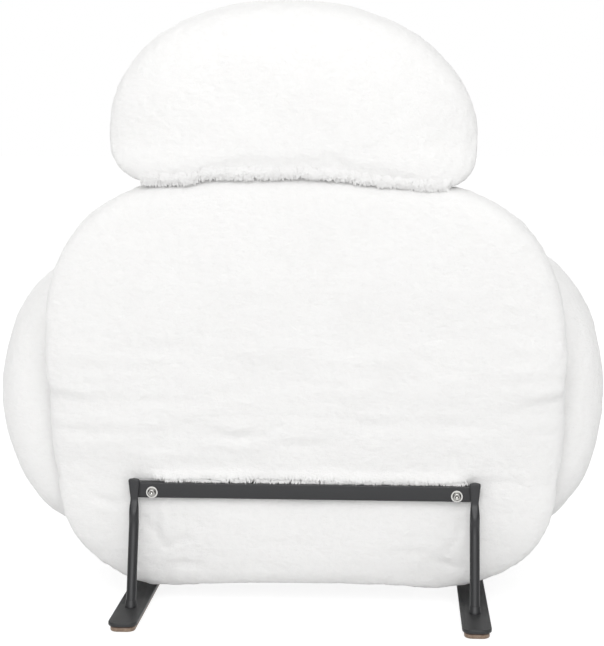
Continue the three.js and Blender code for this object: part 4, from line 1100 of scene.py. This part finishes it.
def lock_band(piece, near, count, length, dice, hang=0.0):
    """Locks combed down on a piece's skin where near(middles, normals) holds: points, faces and normals.

    hang is the share of the way from lying along the skin, at 0, to hanging straight down from it, at 1.
    It fades to 0 where the skin turns to the side, and the locks are shorter there.
    """
    piece.data.calc_loop_triangles()
    triangles = np.empty(len(piece.data.loop_triangles) * 3, dtype=np.int32)
    piece.data.loop_triangles.foreach_get("vertices", triangles)
    thirds = points_of(piece)[triangles.reshape(-1, 3)]
    normals = np.cross(thirds[:, 1] - thirds[:, 0], thirds[:, 2] - thirds[:, 0])
    area = np.linalg.norm(normals, axis=1)
    normals /= np.maximum(area, 1e-12)[:, None]
    chance = np.where(near(thirds.mean(axis=1), normals), area, 0)
    chosen = dice.choice(len(area), count, p=chance / chance.sum())
    roots = (thirds[chosen] * dice.dirichlet((1, 1, 1), count)[..., None]).sum(axis=1)
    outwards = normals[chosen]
    ways = np.stack([dice.normal(0, 0.35, count), np.zeros(count), np.full(count, -1.0)], -1)
    faded = hang * ramp(np.abs(outwards[:, :1]), 0.10, 0.40)
    ways = unit(ways - outwards * (ways * outwards).sum(axis=1, keepdims=True) * (1 - hang + faded))
    lengths = dice.uniform(0.7, 1.2, count) * length * (1 - 0.8 * faded[:, 0])
    points, faces = locks(roots, outwards, ways, lengths, dice.uniform(0.6, 1.3, count) * PILE_WIDTH)
    facing = unit(outwards * np.concatenate([np.ones((count, 2)), 1 - hang + faded], axis=1))
    return points, faces, np.repeat(facing, len(points) // count, axis=0)


def long_pile(name, body, points, faces, normals):
    """One object of locks. They shade as the skin they lie on, and the other way on their undersides."""
    pile = skinned(name, points, faces, plush, sharp=0)
    at_corner = np.empty(len(pile.data.loops), dtype=np.int32)
    pile.data.loops.foreach_get("vertex_index", at_corner)
    flat = np.empty(len(pile.data.polygons) * 3)
    pile.data.polygons.foreach_get("normal", flat)
    shading = normals[at_corner]
    facing = np.repeat(flat.reshape(-1, 3), 4, axis=0)
    shading = np.where((shading * facing).sum(axis=1, keepdims=True) < 0, -shading, shading)
    pile.data.normals_split_custom_set(shading.tolist())
    fitted(pile, body, "plush")
    return pile


def at_the_hem(middles, normals):
    """Just above the shell's hem, on its rear and its sides."""
    return (middles[:, 2] < HEM + HEM_BAND) & (normals[:, 1] > -0.2) & (normals[:, 2] > -0.7)


def at_the_pillow_foot(middles, normals):
    """Low on the pillow's rear, down to where it turns under."""
    across, deep, up = from_the_back(middles).T
    low = up - shell_roof(across, deep) < FOOT_BAND
    return low & (deep > PILLOW_DEPTH + 0.035) & (normals[:, 2] > -0.9)


dice = np.random.default_rng(PILE_SEED)
points, faces, normals = lock_band(body, at_the_hem, HEM_TUFTS, PILE_LENGTH, dice)
roots = np.stack([dice.uniform(*EDGE_REACH, EDGE_TUFTS), np.full(EDGE_TUFTS, SKIN_AT_BAR + 0.004),
                  BAR_TOP + dice.uniform(*EDGE_RISES, EDGE_TUFTS)], -1)
ways = unit(np.stack([dice.normal(0, 0.3, EDGE_TUFTS), np.ones(EDGE_TUFTS),
                      dice.uniform(-0.1, 0.05, EDGE_TUFTS)], -1))
upwards = np.cross(np.cross(ways, (0, 0, 1)), ways)
edge_points, edge_faces = locks(roots, upwards, ways, dice.uniform(*EDGE_LENGTHS, EDGE_TUFTS),
                                dice.uniform(0.5, 1.1, EDGE_TUFTS) * PILE_WIDTH, EDGE_DROOP)
faces += [[index + len(points) for index in face] for face in edge_faces]
edge_normals = np.repeat(unit(upwards * 0.5 + (0, 0.7, 0)), len(edge_points) // EDGE_TUFTS, axis=0)
points, normals = np.vstack([points, edge_points]), np.vstack([normals, edge_normals])
long_pile("shell_hem_pile", "back", points, faces, normals)
band = lock_band(pillow, at_the_pillow_foot, FOOT_TUFTS, FOOT_PILE_LENGTH, dice, FOOT_HANG)
foot_pile = long_pile("pillow_foot_pile", "headrest", *band)
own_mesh(foot_pile)

# Studio: a pale floor that runs on as the backdrop, soft light from all round and a camera behind
# the chair, at the height of its headrest and a little to its right.
FLOOR_REACH = 60
FLOOR_GLOW = 0.68
FLOOR_COLOUR = (0.88, 0.88, 0.88, 1)
GLOW_STRENGTH = 1.25
WORLD_POWER = 0.74
CAMERA_PLACE = (-0.1437, 2.5765, 0.7170)
CAMERA_WAY = (0.0622, -0.9912, -0.1168)
CAMERA_LENS = 93.3
SENSOR = 36


def floor_material():
    """Pale floor: a plain diffuse colour that keeps shadows, and a glow where a ray sees it directly."""
    material = bpy.data.materials.new("pale_floor")
    material.use_nodes = True
    tree = material.node_tree
    tree.nodes.clear()
    path = node(tree, "ShaderNodeLightPath").outputs
    seen = maths(tree, "MAXIMUM", path["Is Camera Ray"], path["Is Glossy Ray"])
    share = maths(tree, "MULTIPLY", maths(tree, "MAXIMUM", seen, path["Is Transmission Ray"]), FLOOR_GLOW)
    matt = node(tree, "ShaderNodeBsdfDiffuse", {"Color": FLOOR_COLOUR}).outputs[0]
    glow = node(tree, "ShaderNodeEmission", {"Color": (1, 1, 1, 1), "Strength": GLOW_STRENGTH}).outputs[0]
    both = node(tree, "ShaderNodeMixShader", {0: share, 1: matt, 2: glow}).outputs[0]
    node(tree, "ShaderNodeOutputMaterial", {"Surface": both})
    return material


floor_points = np.array([[-1, -1, 0], [1, -1, 0], [1, 1, 0], [-1, 1, 0]]) * FLOOR_REACH
floor = skinned("studio_floor", floor_points, [[0, 1, 2, 3]], floor_material())

world = bpy.data.worlds.new("studio_light")
bpy.context.scene.world = world
world.use_nodes = True
tree = world.node_tree
tree.nodes.clear()
path = node(tree, "ShaderNodeLightPath").outputs
seen = maths(tree, "MAXIMUM", path["Is Camera Ray"], path["Is Transmission Ray"])
plain = spread(tree, seen, 0, 1, WORLD_POWER, 1.0)
way = node(tree, "ShaderNodeSeparateXYZ", {"Vector": node(tree, "ShaderNodeTexCoord").outputs["Generated"]})
behind = spread(tree, way.outputs["Y"], 0.55, 0.93, 0.06, 1.7)
above = spread(tree, way.outputs["Z"], 0.3, 0.95, 0.0, 1.2)
softbox = maths(tree, "ADD", behind, above)
strength = node(tree, "ShaderNodeMix", {0: path["Is Glossy Ray"], 2: plain, 3: softbox}).outputs[0]
sky = node(tree, "ShaderNodeBackground", {"Color": (1, 1, 1, 1), "Strength": strength})
node(tree, "ShaderNodeOutputWorld", {"Surface": sky.outputs[0]})


def soft_lamp(name, place, aim, size, power):
    """A square area lamp that looks at a point."""
    lamp = bpy.data.lights.new(name, "AREA")
    lamp.size = size
    lamp.energy = power
    made = placed(name, lamp)
    made.location = place
    made.rotation_euler = (Vector(aim) - Vector(place)).to_track_quat("-Z", "Y").to_euler()


soft_lamp("rear_lamp", (-0.1, 3.2, 2.4), (0, 0, 0.55), 2.6, 58)
soft_lamp("front_lamp", (0.8, -3.0, 2.6), (0, 0, 0.4), 2.6, 55)

camera = placed("camera", bpy.data.cameras.new("camera"))
camera.data.sensor_fit = "HORIZONTAL"
camera.data.sensor_width = SENSOR
camera.data.lens = CAMERA_LENS
camera.location = CAMERA_PLACE
camera.rotation_euler = Vector(CAMERA_WAY).to_track_quat("-Z", "Y").to_euler()
bpy.context.scene.camera = camera
bpy.context.scene.view_settings.view_transform = "Standard"
